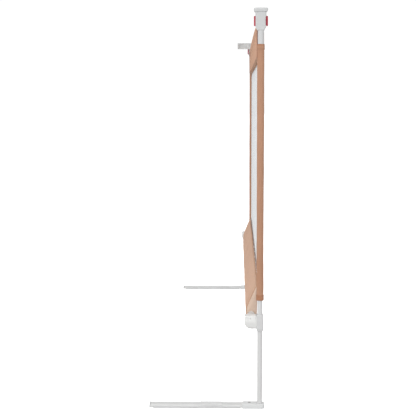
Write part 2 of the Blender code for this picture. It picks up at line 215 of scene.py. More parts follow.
def rubber(name, colour):
    """Matt rubber: pebbled grain with dusty high spots."""
    t = Tree(name)
    o = t.coords()
    grain = t.noise(o, 900.0, 2.0, 0.55)
    dust = t.noise(o, 30.0, 4.0, 0.65)
    t.link(t.mix(t.ramp(dust, 0.35, 0.75), shade(colour, 0.93), shade(colour, 1.06)), t.bsdf.inputs["Base Color"])
    t.link(t.ramp(grain, 0.3, 0.7, 0.72, 0.9), t.bsdf.inputs["Roughness"])
    t.link(t.bump(grain, 0.22, 0.0003), t.bsdf.inputs["Normal"])
    t.bsdf.inputs["Specular IOR Level"].default_value = 0.3
    return t.mat


def woven(name, colour, pitch=0.0016, weave_hollow_shade=0.16, bump=0.35, melange=0.10, sheen=0.25, twill=False):
    """Woven polyester, from the surface's own length and width in metres (its UV map): over and
    under threads, thread-to-thread colour changes, painted shade in the hollows between the threads with lighter
    painted thread crowns, and slow random changes of tone over the whole cloth."""
    t = Tree(name)
    uv = t.coords("UV")
    p = t.vmath("SCALE", uv)
    p.node.inputs["Scale"].default_value = 1.0 / pitch
    s = t.node("ShaderNodeSeparateXYZ")
    t.link(p, s.inputs[0])
    u, v = s.outputs["X"], s.outputs["Y"]
    a = t.math("SINE", t.math("MULTIPLY", u, math.pi))
    b = t.math("SINE", t.math("MULTIPLY", v, math.pi))
    if twill:
        d = t.math("SINE", t.math("MULTIPLY", t.math("ADD", u, v), math.pi / 2))
        over = t.ramp(d, -0.15, 0.15)
    else:
        over = t.ramp(t.math("MULTIPLY", a, b), -0.08, 0.08)
    ha, hb = t.math("ABSOLUTE", a), t.math("ABSOLUTE", b)
    height = t.math("ADD", t.math("MULTIPLY", over, hb), t.math("MULTIPLY", t.math("SUBTRACT", 1.0, over), ha))
    warp = t.noise(t.scaled(uv, (1.0 / pitch, 22.0, 1.0)), 1.0, 2.0, 0.6)
    weft = t.noise(t.scaled(uv, (22.0, 1.0 / pitch, 1.0)), 1.0, 2.0, 0.6)
    thread = t.math("ADD", t.math("MULTIPLY", over, weft), t.math("MULTIPLY", t.math("SUBTRACT", 1.0, over), warp))
    slow = t.noise(t.coords(), 5.0, 3.0, 0.55)
    fuzz = t.noise(t.coords(), 2200.0, 2.0)
    tone = t.math("ADD", t.math("MULTIPLY", t.ramp(thread, 0.3, 0.7, -0.5, 0.5), melange * 2), t.ramp(slow, 0.35, 0.65, -0.05, 0.05))
    # painted shade and highlight: colour follows the weave's height, darker in the hollows between threads and lighter
    # on the thread crowns
    tone = t.math("ADD", tone, t.ramp(height, 0.0, 1.0, -weave_hollow_shade, weave_hollow_shade * 0.45))
    tone = t.math("ADD", tone, t.ramp(fuzz, 0.3, 0.7, -0.03, 0.03))
    fac = t.math("ADD", t.math("MULTIPLY", tone, 1.0), 0.5, clamp=True)
    t.link(t.mix(fac, shade(colour, 0.5), shade(colour, 1.5)), t.bsdf.inputs["Base Color"])
    t.link(t.ramp(height, 0.0, 1.0, 0.95, 0.80), t.bsdf.inputs["Roughness"])
    h = t.math("ADD", height, t.math("MULTIPLY", thread, 0.35))
    t.link(t.bump(h, bump, 0.0004), t.bsdf.inputs["Normal"])
    t.bsdf.inputs["Sheen Weight"].default_value = sheen
    t.bsdf.inputs["Sheen Roughness"].default_value = 0.4
    t.bsdf.inputs["Sheen Tint"].default_value = (*shade(colour, 1.35), 1.0)
    t.bsdf.inputs["Specular IOR Level"].default_value = 0.25
    return t.mat


def knit(name, colour, pitch=0.0034):
    """Breathable warp-knit mesh: round holes in a staggered lattice, threads between them."""
    t = Tree(name)
    uv = t.coords("UV")
    p = t.scaled(uv, (1.0 / pitch, 1.0 / (pitch * math.sqrt(3)), 1.0))

    def lattice(shift):
        q = t.vmath("FRACTION", t.vmath("ADD", p, (shift, shift, 0.0)))
        q = t.vmath("MULTIPLY", t.vmath("SUBTRACT", q, (0.5, 0.5, 0.0)), (1.0, math.sqrt(3), 0.0))
        return t.vmath("LENGTH", q)

    d = t.math("MINIMUM", lattice(0.0), lattice(0.5))
    wob = t.noise(uv, 900.0, 2.0)
    d = t.math("ADD", d, t.ramp(wob, 0.3, 0.7, -0.02, 0.02))
    solid = t.ramp(d, 0.27, 0.33)
    thread = t.noise(t.scaled(uv, (1800.0, 5200.0, 1.0)), 1.0, 2.0, 0.6)
    slow = t.noise(t.coords(), 4.0, 3.0)
    # painted shade: the threads are darkened towards each hole's rim, where the bump dips into the hole
    fac = t.math("ADD", t.math("MULTIPLY", thread, 0.5), t.math("MULTIPLY", t.ramp(d, 0.3, 0.6), 0.5))
    c = t.mix(fac, shade(colour, 0.86), shade(colour, 1.06))
    t.link(t.mix(t.ramp(slow, 0.3, 0.7), c, shade(colour, 0.97)), t.bsdf.inputs["Base Color"])
    t.link(t.ramp(thread, 0.3, 0.7, 0.75, 0.92), t.bsdf.inputs["Roughness"])
    t.link(t.ramp(solid, 0.0, 1.0, 0.12, 1.0), t.bsdf.inputs["Alpha"])
    t.link(t.bump(t.math("ADD", t.ramp(d, 0.3, 0.5), t.math("MULTIPLY", thread, 0.3)), 0.4, 0.0004), t.bsdf.inputs["Normal"])
    t.bsdf.inputs["Sheen Weight"].default_value = 0.15
    t.bsdf.inputs["Specular IOR Level"].default_value = 0.25
    return t.mat


def thread_mat(name, colour):
    """Sewing thread: twisted strands in two close shades."""
    t = Tree(name)
    o = t.coords()
    twist = t.noise(t.scaled(o, (4200.0, 4200.0, 4200.0)), 1.0, 1.0)
    t.link(t.mix(t.ramp(twist, 0.35, 0.65), shade(colour, 0.8), shade(colour, 1.15)), t.bsdf.inputs["Base Color"])
    t.link(t.ramp(twist, 0.3, 0.7, 0.55, 0.75), t.bsdf.inputs["Roughness"])
    t.link(t.bump(twist, 0.3, 0.0001), t.bsdf.inputs["Normal"])
    t.bsdf.inputs["Sheen Weight"].default_value = 0.2
    return t.mat


WHITE = (0.635, 0.645, 0.645)
M = {
    "paint": paint("post_paint", (0.665, 0.665, 0.665), 0.38),
    "plastic": plastic("cap_plastic", WHITE, 0.42, 0.06),
    # painted light: the bracket's housing and face plate take a lighter copy of the white plastic, standing in for the
    # light on their upper faces
    "shell": plastic("bracket_plastic", (0.835, 0.835, 0.82), 0.34, 0.04, coat=0.15),
    "collar": plastic("collar_plastic", (0.655, 0.655, 0.655), 0.38, 0.05),
    "inner": plastic("inner_plastic", (0.36, 0.36, 0.37), 0.5, 0.08),
    "red": plastic("button_plastic", (0.47, 0.030, 0.055), 0.30, 0.04, coat=0.3, wear=0.10),
    # painted light: the feet's plastic, paint, pad and grip are lightened, standing in for light thrown back by the
    # floor, which lights nothing here; the foot paint is a lighter copy of the post paint
    "foot_plastic_bounce_lightened": plastic("foot_plastic_bounce_lightened", (0.74, 0.75, 0.75), 0.42, 0.06),
    "foot": paint("foot_paint_bounce_lightened", (0.715, 0.72, 0.715), 0.40),
    "rubber": rubber("pad_rubber_bounce_lightened", (0.90, 0.90, 0.90)),
    "grip": rubber("grip_rubber_bounce_lightened", (0.755, 0.755, 0.755)),
    "steel": metal("zinc_steel", (0.62, 0.62, 0.61), 0.30),
    "sleeve": woven("sleeve_weave", (0.51, 0.278, 0.178), 0.0015, 0.14, 0.35, 0.09),
    "band": woven("band_weave", (0.675, 0.388, 0.255), 0.0016, 0.15, 0.35, 0.10),
    "bumper": woven("bumper_weave", (0.735, 0.444, 0.316), 0.0016, 0.15, 0.35, 0.10),
    # painted light: a lighter copy of the bumper cloth for its end panels and beam collars, standing in for the light
    # falling on the end panels
    "lit_bumper_end": woven("bumper_end_weave", (0.97, 0.57, 0.45), 0.0016, 0.13, 0.35, 0.08),
    "cuff": woven("cuff_weave", (0.47, 0.225, 0.130), 0.0013, 0.18, 0.40, 0.08),
    "piping": woven("piping_weave", (0.56, 0.330, 0.220), 0.0011, 0.18, 0.45, 0.06, twill=True),
    "end_piping": woven("end_piping_weave", (0.40, 0.19, 0.13), 0.0011, 0.20, 0.45, 0.06, twill=True),
    "binding": woven("binding_weave", (0.43, 0.240, 0.150), 0.0011, 0.20, 0.45, 0.06, twill=True),
    "mesh": knit("mesh_knit", (0.83, 0.85, 0.86)),
    "mesh_tape": woven("mesh_tape_weave", (0.76, 0.77, 0.78), 0.0011, 0.14, 0.4, 0.04, sheen=0.15, twill=True),
    "thread": thread_mat("brown_thread", (0.36, 0.19, 0.11)),
    "mesh_thread": thread_mat("mesh_thread", (0.84, 0.86, 0.87)),
    "thread_light": thread_mat("light_thread", (0.70, 0.52, 0.40)),
}


# ---------------------------------------------------------------- outlines
def rrect(w, h, r, seg=8, cx=0.0, cy=0.0):
    pts = []
    for k, (sx, sy) in enumerate(((1, 1), (-1, 1), (-1, -1), (1, -1))):
        ox, oy = cx + sx * (w / 2 - r), cy + sy * (h / 2 - r)
        for i in range(seg + 1):
            a = math.radians(90 * k + 90 * i / seg)
            pts.append((ox + r * math.cos(a), oy + r * math.sin(a)))
    return pts


def circle(r, n, cx=0.0, cy=0.0):
    return [(cx + r * math.cos(2 * math.pi * i / n), cy + r * math.sin(2 * math.pi * i / n)) for i in range(n)]


def fillet(points, radii, seg=6):
    out, n = [], len(points)
    for i, (p, r) in enumerate(zip(points, radii)):
        p = Vector(p)
        if r <= 0:
            out.append(tuple(p))
            continue
        a = (Vector(points[i - 1]) - p).normalized()
        b = (Vector(points[(i + 1) % n]) - p).normalized()
        half = a.angle(b) / 2
        d = r / math.tan(half)
        c = p + (a + b).normalized() * (r / math.sin(half))
        s, e = p + a * d - c, p + b * d - c
        turn = math.atan2(s.x * e.y - s.y * e.x, s.dot(e))
        for k in range(seg + 1):
            t = turn * k / seg
            out.append((c.x + s.x * math.cos(t) - s.y * math.sin(t), c.y + s.x * math.sin(t) + s.y * math.cos(t)))
    return out


def to3(axis, a, p):
    u, v = p
    return {"X": (a, u, v), "Y": (u, a, v), "Z": (u, v, a)}[axis]


def outward(bm):
    bmesh.ops.recalc_face_normals(bm, faces=bm.faces[:])
    if bm.calc_volume(signed=True) < 0:
        bmesh.ops.reverse_faces(bm, faces=bm.faces[:])
    return bm


def loft(axis, sections):
    bm = bmesh.new()
    rings = [[bm.verts.new(to3(axis, a, p)) for p in ring] for a, ring in sections]
    n = len(rings[0])
    for lo, hi in zip(rings, rings[1:]):
        for i in range(n):
            bm.faces.new((lo[i], lo[(i + 1) % n], hi[(i + 1) % n], hi[i]))
    bm.faces.new(rings[0][::-1])
    bm.faces.new(rings[-1])
    return outward(bm)


def prism(axis, outline, a0, a1):
    return loft(axis, [(a0, outline), (a1, outline)])


def tube(axis, outer, inner, a0, a1, chamfer=0.25):
    """A straight tube with its cut ends slightly broken."""
    bm = bmesh.new()
    n = len(outer)
    oc = np.mean(np.array(outer), axis=0)

    def inset(ring, d):
        return [tuple(np.array(p) - (np.array(p) - oc) / max(np.linalg.norm(np.array(p) - oc), 1e-9) * d) for p in ring]

    secs = [(a0, inset(outer, chamfer)), (a0 + chamfer, outer), (a1 - chamfer, outer), (a1, inset(outer, chamfer)),
            (a1, inner), (a0, inner)]
    rings = [[bm.verts.new(to3(axis, a, p)) for p in ring] for a, ring in secs]
    for k in range(len(rings)):
        lo, hi = rings[k], rings[(k + 1) % len(rings)]
        for i in range(n):
            bm.faces.new((lo[i], lo[(i + 1) % n], hi[(i + 1) % n], hi[i]))
    return outward(bm)


def turned(axis, profile, n, c=(0.0, 0.0)):
    return loft(axis, [(a, circle(r, n, *c)) for a, r in profile])


def box(x0, x1, y0, y1, z0, z1):
    return prism("Z", [(x0, y0), (x1, y0), (x1, y1), (x0, y1)], z0, z1)


def frame_of(end):
    if end == "M":
        return Matrix.Diagonal((0.001, 0.001, 0.001, 1)) @ Matrix.Translation((POST_X, 0, 0))
    s = 1.0 if end == "A" else -1.0
    return Matrix.Diagonal((0.001, 0.001 * s, 0.001, 1)) @ Matrix.Translation((POST_X, -POST_Y, 0))


def as_object(name, bm, end):
    bm.transform(frame_of(end))
    if end == "B":
        bmesh.ops.reverse_faces(bm, faces=bm.faces[:])
    me = bpy.data.meshes.new(name)
    bm.to_mesh(me)
    bm.free()
    ob = bpy.data.objects.new(name, me)
    bpy.context.scene.collection.objects.link(ob)
    return ob


def flatten(ob):
    """Applies the object's modifiers."""
    dg = bpy.context.evaluated_depsgraph_get()
    me = bpy.data.meshes.new_from_object(ob.evaluated_get(dg), preserve_all_data_layers=True, depsgraph=dg)
    ob.modifiers.clear()
    old, ob.data = ob.data, me
    bpy.data.meshes.remove(old)


def combine(ob, bm, end, how):
    tool = as_object("tool", bm, end)
    m = ob.modifiers.new("b", "BOOLEAN")
    m.operation, m.object, m.solver = how, tool, "EXACT"
    flatten(ob)
    bpy.data.objects.remove(tool, do_unlink=True)


def dress(ob, mat, body, node=None, bevel=0.0, seg=3, angle=32):
    """Material, soft edges, smooth shading, and the body that the piece rides on."""
    ob.data.materials.clear()
    ob.data.materials.append(mat)
    for p in ob.data.polygons:
        p.material_index = 0
    ob.data.shade_smooth()
    if bevel:
        b = ob.modifiers.new("edges", "BEVEL")
        b.width, b.segments, b.limit_method, b.angle_limit = bevel / 1000, seg, "ANGLE", math.radians(angle)
        b.use_clamp_overlap = True
        b.miter_outer = "MITER_ARC"
    w = ob.modifiers.new("normals", "WEIGHTED_NORMAL")
    w.keep_sharp = True
    w.weight = 60
    if not bevel:
        ob.data.set_sharp_from_angle(angle=math.radians(35))
    flatten(ob)
    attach(ob, body)
    if node:
        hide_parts(*([node] if isinstance(node, str) else node))
    return ob


def piece(name, bm, end, mat, body, node=None, cuts=(), adds=(), bevel=0.0, seg=3, angle=32):
    ob = as_object(name, bm, end)
    for a in adds:
        combine(ob, a, end, "UNION")
    for c in cuts:
        combine(ob, c, end, "DIFFERENCE")
    return dress(ob, mat, body, node, bevel, seg, angle)


def cross_recess(axis, c, a0, a1, r):
    """Two crossed slots for a screw's drive."""
    out = []
    for w, h in ((2 * r, 0.32 * 2 * r * 0.5), (0.32 * 2 * r * 0.5, 2 * r)):
        q = [(c[0] - w / 2, c[1] - h / 2), (c[0] + w / 2, c[1] - h / 2), (c[0] + w / 2, c[1] + h / 2), (c[0] - w / 2, c[1] + h / 2)]
        q2 = [(c[0] + (x - c[0]) * 0.6, c[1] + (y - c[1]) * 0.6) for x, y in q]
        out.append(loft(axis, [(a0, q), (a1, q2)]))
    return out


def screw(name, axis, c, head_a, head_r, head_t, shank_r, shank_l, end, body, node):
    s = 1 if head_t > 0 else -1
    t = abs(head_t)
    prof = [(head_a - s * shank_l, shank_r * 0.3), (head_a - s * (shank_l - 1.2), shank_r), (head_a, shank_r), (head_a, head_r * 0.97),
            (head_a + s * 0.08 * t, head_r), (head_a + s * 0.40 * t, head_r), (head_a + s * 0.68 * t, head_r * 0.93),
            (head_a + s * 0.88 * t, head_r * 0.76), (head_a + s * t, head_r * 0.5)]
    if s < 0:
        prof = prof[::-1]
    cuts = cross_recess(axis, c, head_a + s * (t + 0.3), head_a + s * t * 0.25, head_r * 0.55)
    return piece(name, turned(axis, prof, 28, c), end, M["steel"], body, node, cuts=cuts)


# ---------------------------------------------------------------- hard pieces
for end, tag in (("A", "a"), ("B", "b")):
    # feet
    bar = tube("X", rrect(33.0, 7.5, 2.6, 8, 0, BAR_Z), rrect(30.6, 5.1, 1.4, 8, 0, BAR_Z), -276.0, -9.0)
    piece("foot_tube_" + tag, bar, end, M["foot"], "base", "foot_bar_" + tag,
          cuts=[prism("Z", circle(2.0, 24, -26.0, 0), 7.0, 11.0)])
    tip = [(-279.0, 28.0, 3.4, 1.2), (-278.9, 30.6, 6.0, 2.0), (-278.5, 33.2, 8.6, 2.8), (-277.8, 34.6, 9.8, 3.3), (-277.1, 35.0, 10.1, 3.4), (-276.5, 35.0, 10.1, 3.4),
           (-276.3, 34.7, 9.8, 3.3), (-276.3, 29.8, 4.4, 1.1), (-262.0, 29.2, 4.0, 1.0)]
    piece("foot_end_plug_" + tag, loft("X", [(a, rrect(w, h, r, 8, 0, BAR_Z)) for a, w, h, r in tip]), end, M["foot_plastic_bounce_lightened"], "base", "foot_tip_cap_" + tag)
    # rubber strip: shallow cross grooves under it, between two plain borders
    strip = piece("foot_strip_" + tag, loft("Z", [(0.0, rrect(220.6, 27.6, 2.8, 6, -159.0, 0)), (0.25, rrect(221.6, 28.6, 3.3, 6, -159.0, 0)), (0.6, rrect(222.0, 29.0, 3.5, 6, -159.0, 0)), (2.0, rrect(222.0, 29.0, 3.5, 6, -159.0, 0))]),
                  end, M["rubber"], "base", "foot_pad_" + tag,
                  cuts=[box(x - 0.6, x + 0.6, -12.0, 12.0, -0.5, 0.5) for x in range(-264, -52, 6)])
    # ribbed grip clipped over the bar
    secs = []
    x = -150.0
    def grip(d):
        return fillet([(-18.0 - d, 2.6), (-16.9, 2.6), (-16.9, 10.2), (16.9, 10.2), (16.9, 2.6), (18.0 + d, 2.6), (18.0 + d, 11.4 + d), (-18.0 - d, 11.4 + d)],
                      [0, 0, 2.2, 2.2, 0, 0, 3.4, 3.4], 6)
    secs.append((x, grip(-0.5)))
    secs.append((x + 0.5, grip(0.0)))
    secs.append((x + 4.0, grip(0.0)))
    for k in range(12):
        g = x + 4.0 + k * 4.0
        secs += [(g + 0.3, grip(-0.55)), (g + 1.3, grip(-0.55)), (g + 1.6, grip(0.0)), (g + 4.0, grip(0.0))]
    secs += [(-95.5, grip(0.0)), (-95.0, grip(-0.5))]
    secs = [s for i, s in enumerate(secs) if i == 0 or s[0] > secs[i - 1][0]]
    piece("foot_grip_sleeve_" + tag, loft("X", secs), end, M["grip"], "base", "foot_grip_" + tag)

    def block(i):
        return fillet([(-44.0 + i, -18.0 + i), (12.5 - i, -18.0 + i), (12.5 - i, 18.0 - i), (-44.0 + i, 18.0 - i)], [3.5, 9.0, 9.0, 3.5], 10)
    piece("corner_joint_" + tag, loft("Z", [(0.0, block(1.0)), (0.3, block(0.4)), (1.0, block(0.0)), (9.8, block(0.0)), (10.8, block(0.25)), (11.6, block(0.8)), (12.0, block(1.7))]),
          end, M["foot_plastic_bounce_lightened"], "base", "corner_block_" + tag,
          cuts=[prism("X", rrect(33.6, 8.1, 2.8, 8, 0, BAR_Z), -50.0, -8.7), prism("Z", rrect(13.6, 20.6, 5.8, 10), 2.7, 14.0),
                prism("Z", circle(2.0, 24, -26.0, 0), 9.0, 14.0)], bevel=0.25, seg=2)
    screw("corner_pan_screw_" + tag, "Z", (-26.0, 0.0), 12.3, 3.6, 1.6, 1.6, 5.0, end, "base", "corner_screw_" + tag)

    # posts
    low = tube("Z", rrect(13, 20, 5.5, 12), rrect(10.6, 17.6, 4.3, 12), 3.0, 675.0)
    piece("lower_tube_" + tag, low, end, M["paint"], "base", "lower_post_" + tag,
          cuts=[prism("Y", circle(2.5, 24, 0, z), 6.0, 12.0) for z in (140.0, 160.0, 180.0, 200.0, 220.0, 240.0)])
    piece("upper_tube_" + tag, tube("Z", rrect(15.4, 22.4, 6.4, 12), rrect(13.6, 20.6, 5.5, 12), 539.3, 952.0), end, M["paint"], "top_rail", "upper_post_" + tag)

    # end cap
    def cap(w0, w1, hy, r):
        return fillet([(w0, -hy), (w1, -hy), (w1, hy), (w0, hy)], [r, max(0.6, 9.0 - w1 + 1.6), max(0.6, 9.0 - w1 + 1.6), r], 8)
    body_secs = [(947.0, cap(-8.5, 8.6, 11.6, 4.4)), (947.4, cap(-9.1, 9.0, 12.2, 4.8)), (948.4, cap(-9.7, 9.35, 12.7, 5.0)),
                 (953.0, cap(-11.9, 9.7, 13.5, 4.4)), (956.2, cap(-13.1, 9.95, 13.95, 4.1)), (958.0, cap(-13.3, 10.0, 14.0, 4.0)),
                 (985.5, cap(-13.3, 10.0, 14.0, 4.0)), (988.6, cap(-13.6, 10.0, 14.2, 4.1)), (991.2, cap(-14.6, 10.0, 14.9, 4.6)), (992.0, cap(-15.0, 10.0, 15.2, 4.8))]
    piece("cap_shell_" + tag, loft("Z", body_secs), end, M["plastic"], "top_rail", "cap_body_" + tag,
          adds=[turned("Y", [(12.0, 6.1), (29.0, 6.1), (30.0, 5.3)], 40, (0, TOP_BEAM_Z))],
          cuts=[prism("Z", rrect(16.0, 23.0, 6.6, 10), 945.0, 952.3), prism("X", rrect(16.6, 25.4, 2.8, 8, 0, BUTTON_Z), -20.0, 20.0),
                prism("Z", circle(2.6, 24), 950.0, 960.0)], bevel=0.3, seg=2, angle=40)
    def side(hy, z0, z1, r):
        return fillet([(-hy, z0), (hy, z0), (hy, z1), (-hy, z1)], [r, r, 0.4, 0.4], 8)
    cover = [(10.05, side(14.0, 951.9, 991.9, 1.5)), (10.9, side(14.0, 952.4, 991.9, 2.0)), (11.8, side(13.7, 953.5, 991.9, 2.6)), (12.5, side(13.2, 954.9, 991.9, 3.0)),
             (13.0, side(12.5, 956.4, 991.9, 3.2)), (13.3, side(11.4, 958.0, 991.9, 3.2))]
    piece("cap_side_cover_" + tag, loft("X", cover), end, M["plastic"], "top_rail", "cap_cover_" + tag,
          cuts=[prism("X", rrect(16.6, 25.4, 2.8, 8, 0, BUTTON_Z), 5.0, 20.0),
                prism("Y", fillet([(11.5, 959.2), (16.0, 956.6), (16.0, 982.6), (11.5, 980.0)], [1.6, 0.3, 0.3, 1.6], 5), -20.0, 20.0)])

    def lid(i, r):
        return rrect(2 * (17.5 - i), 2 * (18.5 - i), r, 10)
    lid_secs = [(992.3, lid(1.9, 3.6)), (992.5, lid(1.5, 3.9)), (993.2, lid(1.15, 4.2)), (997.3, lid(0.0, 5.0)), (998.0, lid(0.0, 5.0)), (999.4, lid(0.15, 4.9)), (1000.8, lid(0.65, 4.6)), (1001.6, lid(1.6, 4.0)),
                (1001.95, lid(3.0, 3.2)), (1002.0, lid(4.4, 2.6)), (1001.6, lid(4.9, 2.4)), (1001.5, lid(5.4, 2.0))]
    piece("cap_top_" + tag, loft("Z", lid_secs), end, M["plastic"], "top_rail", "cap_lid_" + tag)

    # release buttons: crowned faces with three finger ribs
    for side, s in (("bed", -1), ("room", 1)):
        def face(i):
            return rrect(16.0 - 2 * i, 24.8 - 2 * i, max(0.8, 2.5 - i * 0.6), 8, 0, BUTTON_Z)
        secs = [(9.0, face(0.15)), (9.3, face(0.0)), (15.6, face(0.0)), (16.5, face(0.2)), (17.0, face(0.65)), (17.3, face(1.4)), (17.4, face(2.4))]
        ribs = [prism("Y", circle(0.75, 12, s * 17.75, BUTTON_Z + dz), -5.0, 5.0) for dz in (-6.0, -2.0, 2.0, 6.0)]
        piece("release_key_%s_%s" % (tag, side), loft("X", [(s * a, f) for a, f in secs]), end, M["red"], "button_%s_%s" % (tag, side),
              "release_button_%s_%s" % (tag, side), cuts=ribs)

    # beams
    piece("upper_beam_tube_" + tag, tube("Y", circle(7.5, 48, 0, TOP_BEAM_Z), circle(6.5, 48, 0, TOP_BEAM_Z), 14.3, POST_Y - 0.2), end, M["paint"], "top_rail", "top_beam_" + tag)
    piece("lower_beam_tube_" + tag, tube("Y", circle(9.0, 56, LOW_BEAM_X, LOW_BEAM_Z), circle(8.0, 56, LOW_BEAM_X, LOW_BEAM_Z), 13.8, POST_Y - 0.2), end, M["paint"], "carriage", "bottom_beam_" + tag)

    # height bracket: chamfered collar, beam housing, button boss
    coll = lambda i: rrect(18.0 - 2 * i, 27.0 - 2 * i, 3.2 - i * 0.5, 8)
    col = loft("Z", [(197.0, coll(1.7)), (197.5, coll(1.3)), (201.5, coll(0.2)), (202.5, coll(0.0)), (233.5, coll(0.0)), (234.5, coll(0.15)), (238.6, coll(1.2)), (239.0, coll(1.6))])
    hole = [prism("Z", rrect(13.6, 20.6, 5.8, 12), 190.0, 245.0), prism("Y", circle(5.05, 40, 1.0, 220.0), 11.8, 18.0)]
    piece("bracket_collar_" + tag, col, end, M["collar"], "carriage", "height_bracket_" + tag,
          adds=[turned("Y", [(12.0, 7.0), (16.0, 7.0), (16.7, 6.7), (17.0, 6.1)], 48, (1.0, 220.0))], cuts=hole, bevel=0.35, seg=3, angle=40)
    def housing(i, b):
        return fillet([(-6.0, 236.9 - i), (-39.0 + i, 236.9 - i), (-39.0 + i, 202.0 + b), (-6.0, 202.0 + b)], [0, 3.0, 16.5 - b * 0.4, 0], 12)
    house = [(-13.5, housing(0.35, 11.5)), (-13.0, housing(0.0, 9.8)), (-11.5, housing(0.0, 6.0)), (-9.0, housing(0.0, 2.6)), (-6.0, housing(0.0, 0.7)), (-3.0, housing(0.0, 0.0)),
             (12.0, housing(0.0, 0.0)), (13.0, housing(0.3, 0.3)), (13.5, housing(1.2, 1.2))]
    piece("beam_housing_" + tag, loft("Y", house), end, M["shell"], "carriage", "height_bracket_" + tag,
          adds=[turned("Y", [(12.0, 10.6), (17.0, 10.6), (18.2, 10.2), (18.6, 9.4), (18.6, 7.6), (26.0, 7.6), (27.0, 6.8)], 48, (LOW_BEAM_X, LOW_BEAM_Z))],
          cuts=[prism("Z", rrect(18.5, 27.6, 3.4, 8), 190.0, 245.0), prism("Y", circle(1.5, 20, -25.0, 229.0), -14.5, -5.0),
                tube("Y", circle(9.35, 48, LOW_BEAM_X, LOW_BEAM_Z), circle(7.7, 48, LOW_BEAM_X, LOW_BEAM_Z), 13.5, 20.0, 0.01)])

    def plate(i, b):
        return fillet([(-9.6 - i, 236.4 - i), (-38.6 + i, 236.4 - i), (-38.6 + i, 202.0 + b), (-9.6 - i, 202.0 + b)], [max(0.4, 1.5 - i * 0.3), max(0.6, 2.8 - i * 0.3), max(3.0, 16.0 - b * 0.42), 0.8], 12)
    piece("bracket_face_" + tag, loft("Y", [(-16.0, plate(2.6, 21.0)), (-15.95, plate(1.7, 20.0)), (-15.7, plate(1.0, 18.2)), (-15.3, plate(0.5, 16.6)), (-14.6, plate(0.1, 14.2)), (-13.8, plate(0.0, 12.2)), (-13.55, plate(0.1, 11.7))]), end, M["shell"],
          "carriage", "bracket_cover_" + tag, cuts=[prism("Y", circle(1.5, 20, -25.0, 229.0), -17.0, -13.0), turned("Y", [(-16.6, 4.4), (-15.9, 3.9)], 36, (-25.0, 229.0))])
    screw("bracket_pan_screw_" + tag, "Y", (-25.0, 229.0), -15.8, 3.0, -1.2, 1.1, 9.0, end, "carriage", "bracket_screw_" + tag)
    piece("height_key_" + tag, turned("Y", [(14.2, 4.5), (14.4, 4.6), (18.0, 4.6), (18.8, 4.45), (19.3, 4.0), (19.5, 3.2), (19.35, 2.6), (19.2, 1.4)], 48, (1.0, 220.0)), end, M["red"],
          "height_button_" + tag, "adjust_button_" + tag)

# corner link on the B cap
def link_outline(x_end, half, r_end, n=16):
    s = 1 if x_end > LINK_X else -1
    arc = [(LINK_X - s * r_end * math.sin(t), LINK_Y + r_end * math.cos(t)) for t in (math.pi * i / n for i in range(n + 1))]
    return [(x_end, LINK_Y - half), (x_end, LINK_Y + half)] + arc


piece("corner_link_mount", prism("Z", link_outline(13.0, 3.6, 3.6), 977.5, 1002.0), "M", M["plastic"], "top_rail", "link_base",
      adds=[box(-8.0, 8.0, 955.0, 960.7, 980.0, 991.9)],
      cuts=[box(-30.0, -19.6, 940.0, 965.0, 984.1, 995.4), prism("Z", circle(2.3, 24, LINK_X, LINK_Y), 970.0, 1010.0),
            loft("Y", [(947.0, rrect(18.0, 12.0, 2.0, 6, -2.0, 989.75)), (950.2, rrect(16.0, 10.0, 1.6, 6, -2.0, 989.75))])], bevel=0.5, seg=3, angle=40)
piece("corner_link_hook", prism("Z", link_outline(-30.0, 3.3, 3.3), 984.4, 995.1), "M", M["plastic"], "corner_link", "link_arm",
      adds=[prism("X", rrect(6.8, 24.5, 1.0, 4, LINK_Y, 989.75), -58.0, -28.6), prism("Y", rrect(3.6, 18.0, 0.8, 4, -55.6, 989.75), 943.0, 950.0)],
      cuts=[prism("Z", circle(2.3, 24, LINK_X, LINK_Y), 970.0, 1010.0),
            loft("Y", [(948.0, rrect(15.0, 14.0, 2.0, 6, -42.0, 989.75)), (950.6, rrect(13.6, 12.6, 1.6, 6, -42.0, 989.75))])], bevel=0.5, seg=3, angle=40)
piece("corner_link_pin", turned("Z", [(977.8, 1.4), (978.2, 1.9), (1001.1, 1.9), (1001.5, 1.7), (1001.7, 1.2)], 24, (LINK_X, LINK_Y)), "M", M["steel"], "top_rail", "link_pin")

# hidden pieces keep their CAD shape and get their own finish
for end, tag in (("A", "a"), ("B", "b")):
    r0, r1, turns, z0, z1 = 0.4, 3.3, 3.5, 974.75, 981.55
    path = []
    for i in range(int(turns * 28) + 1):
        a = 2 * math.pi * i / 28
        path.append((r1 * math.cos(a), r1 * math.sin(a), z0 + (z1 - z0) * i / (turns * 28)))
    bm = bmesh.new()
    rings = []
    for i, p in enumerate(path):
        a = 2 * math.pi * i / 28
        rings.append([bm.verts.new((p[0] + r0 * math.cos(b) * math.cos(a), p[1] + r0 * math.cos(b) * math.sin(a), p[2] + r0 * math.sin(b)))
                      for b in (2 * math.pi * k / 8 for k in range(8))])
    for lo, hi in zip(rings, rings[1:]):
        for k in range(8):
            bm.faces.new((lo[k], lo[(k + 1) % 8], hi[(k + 1) % 8], hi[k]))
    bm.faces.new(rings[0][::-1])
    bm.faces.new(rings[-1])
    coil = piece("release_coil_" + tag, outward(bm), end, M["steel"], "top_rail", "rod_spring_" + tag)
    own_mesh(coil)

hidden = {"post_top_plug": "inner", "post_bush": "inner", "lock_pin": "steel", "release_rod": "steel"}
for n, key in [(n + "_" + t, k) for n, k in hidden.items() for t in "ab"] + [("top_beam_joiner", "steel"), ("bottom_beam_joiner", "steel")]:
    ob = frame["nodes"][n]
    if not ob.material_slots:
        ob.data.materials.append(M[key])
    for s in ob.material_slots:
        s.material = M[key]


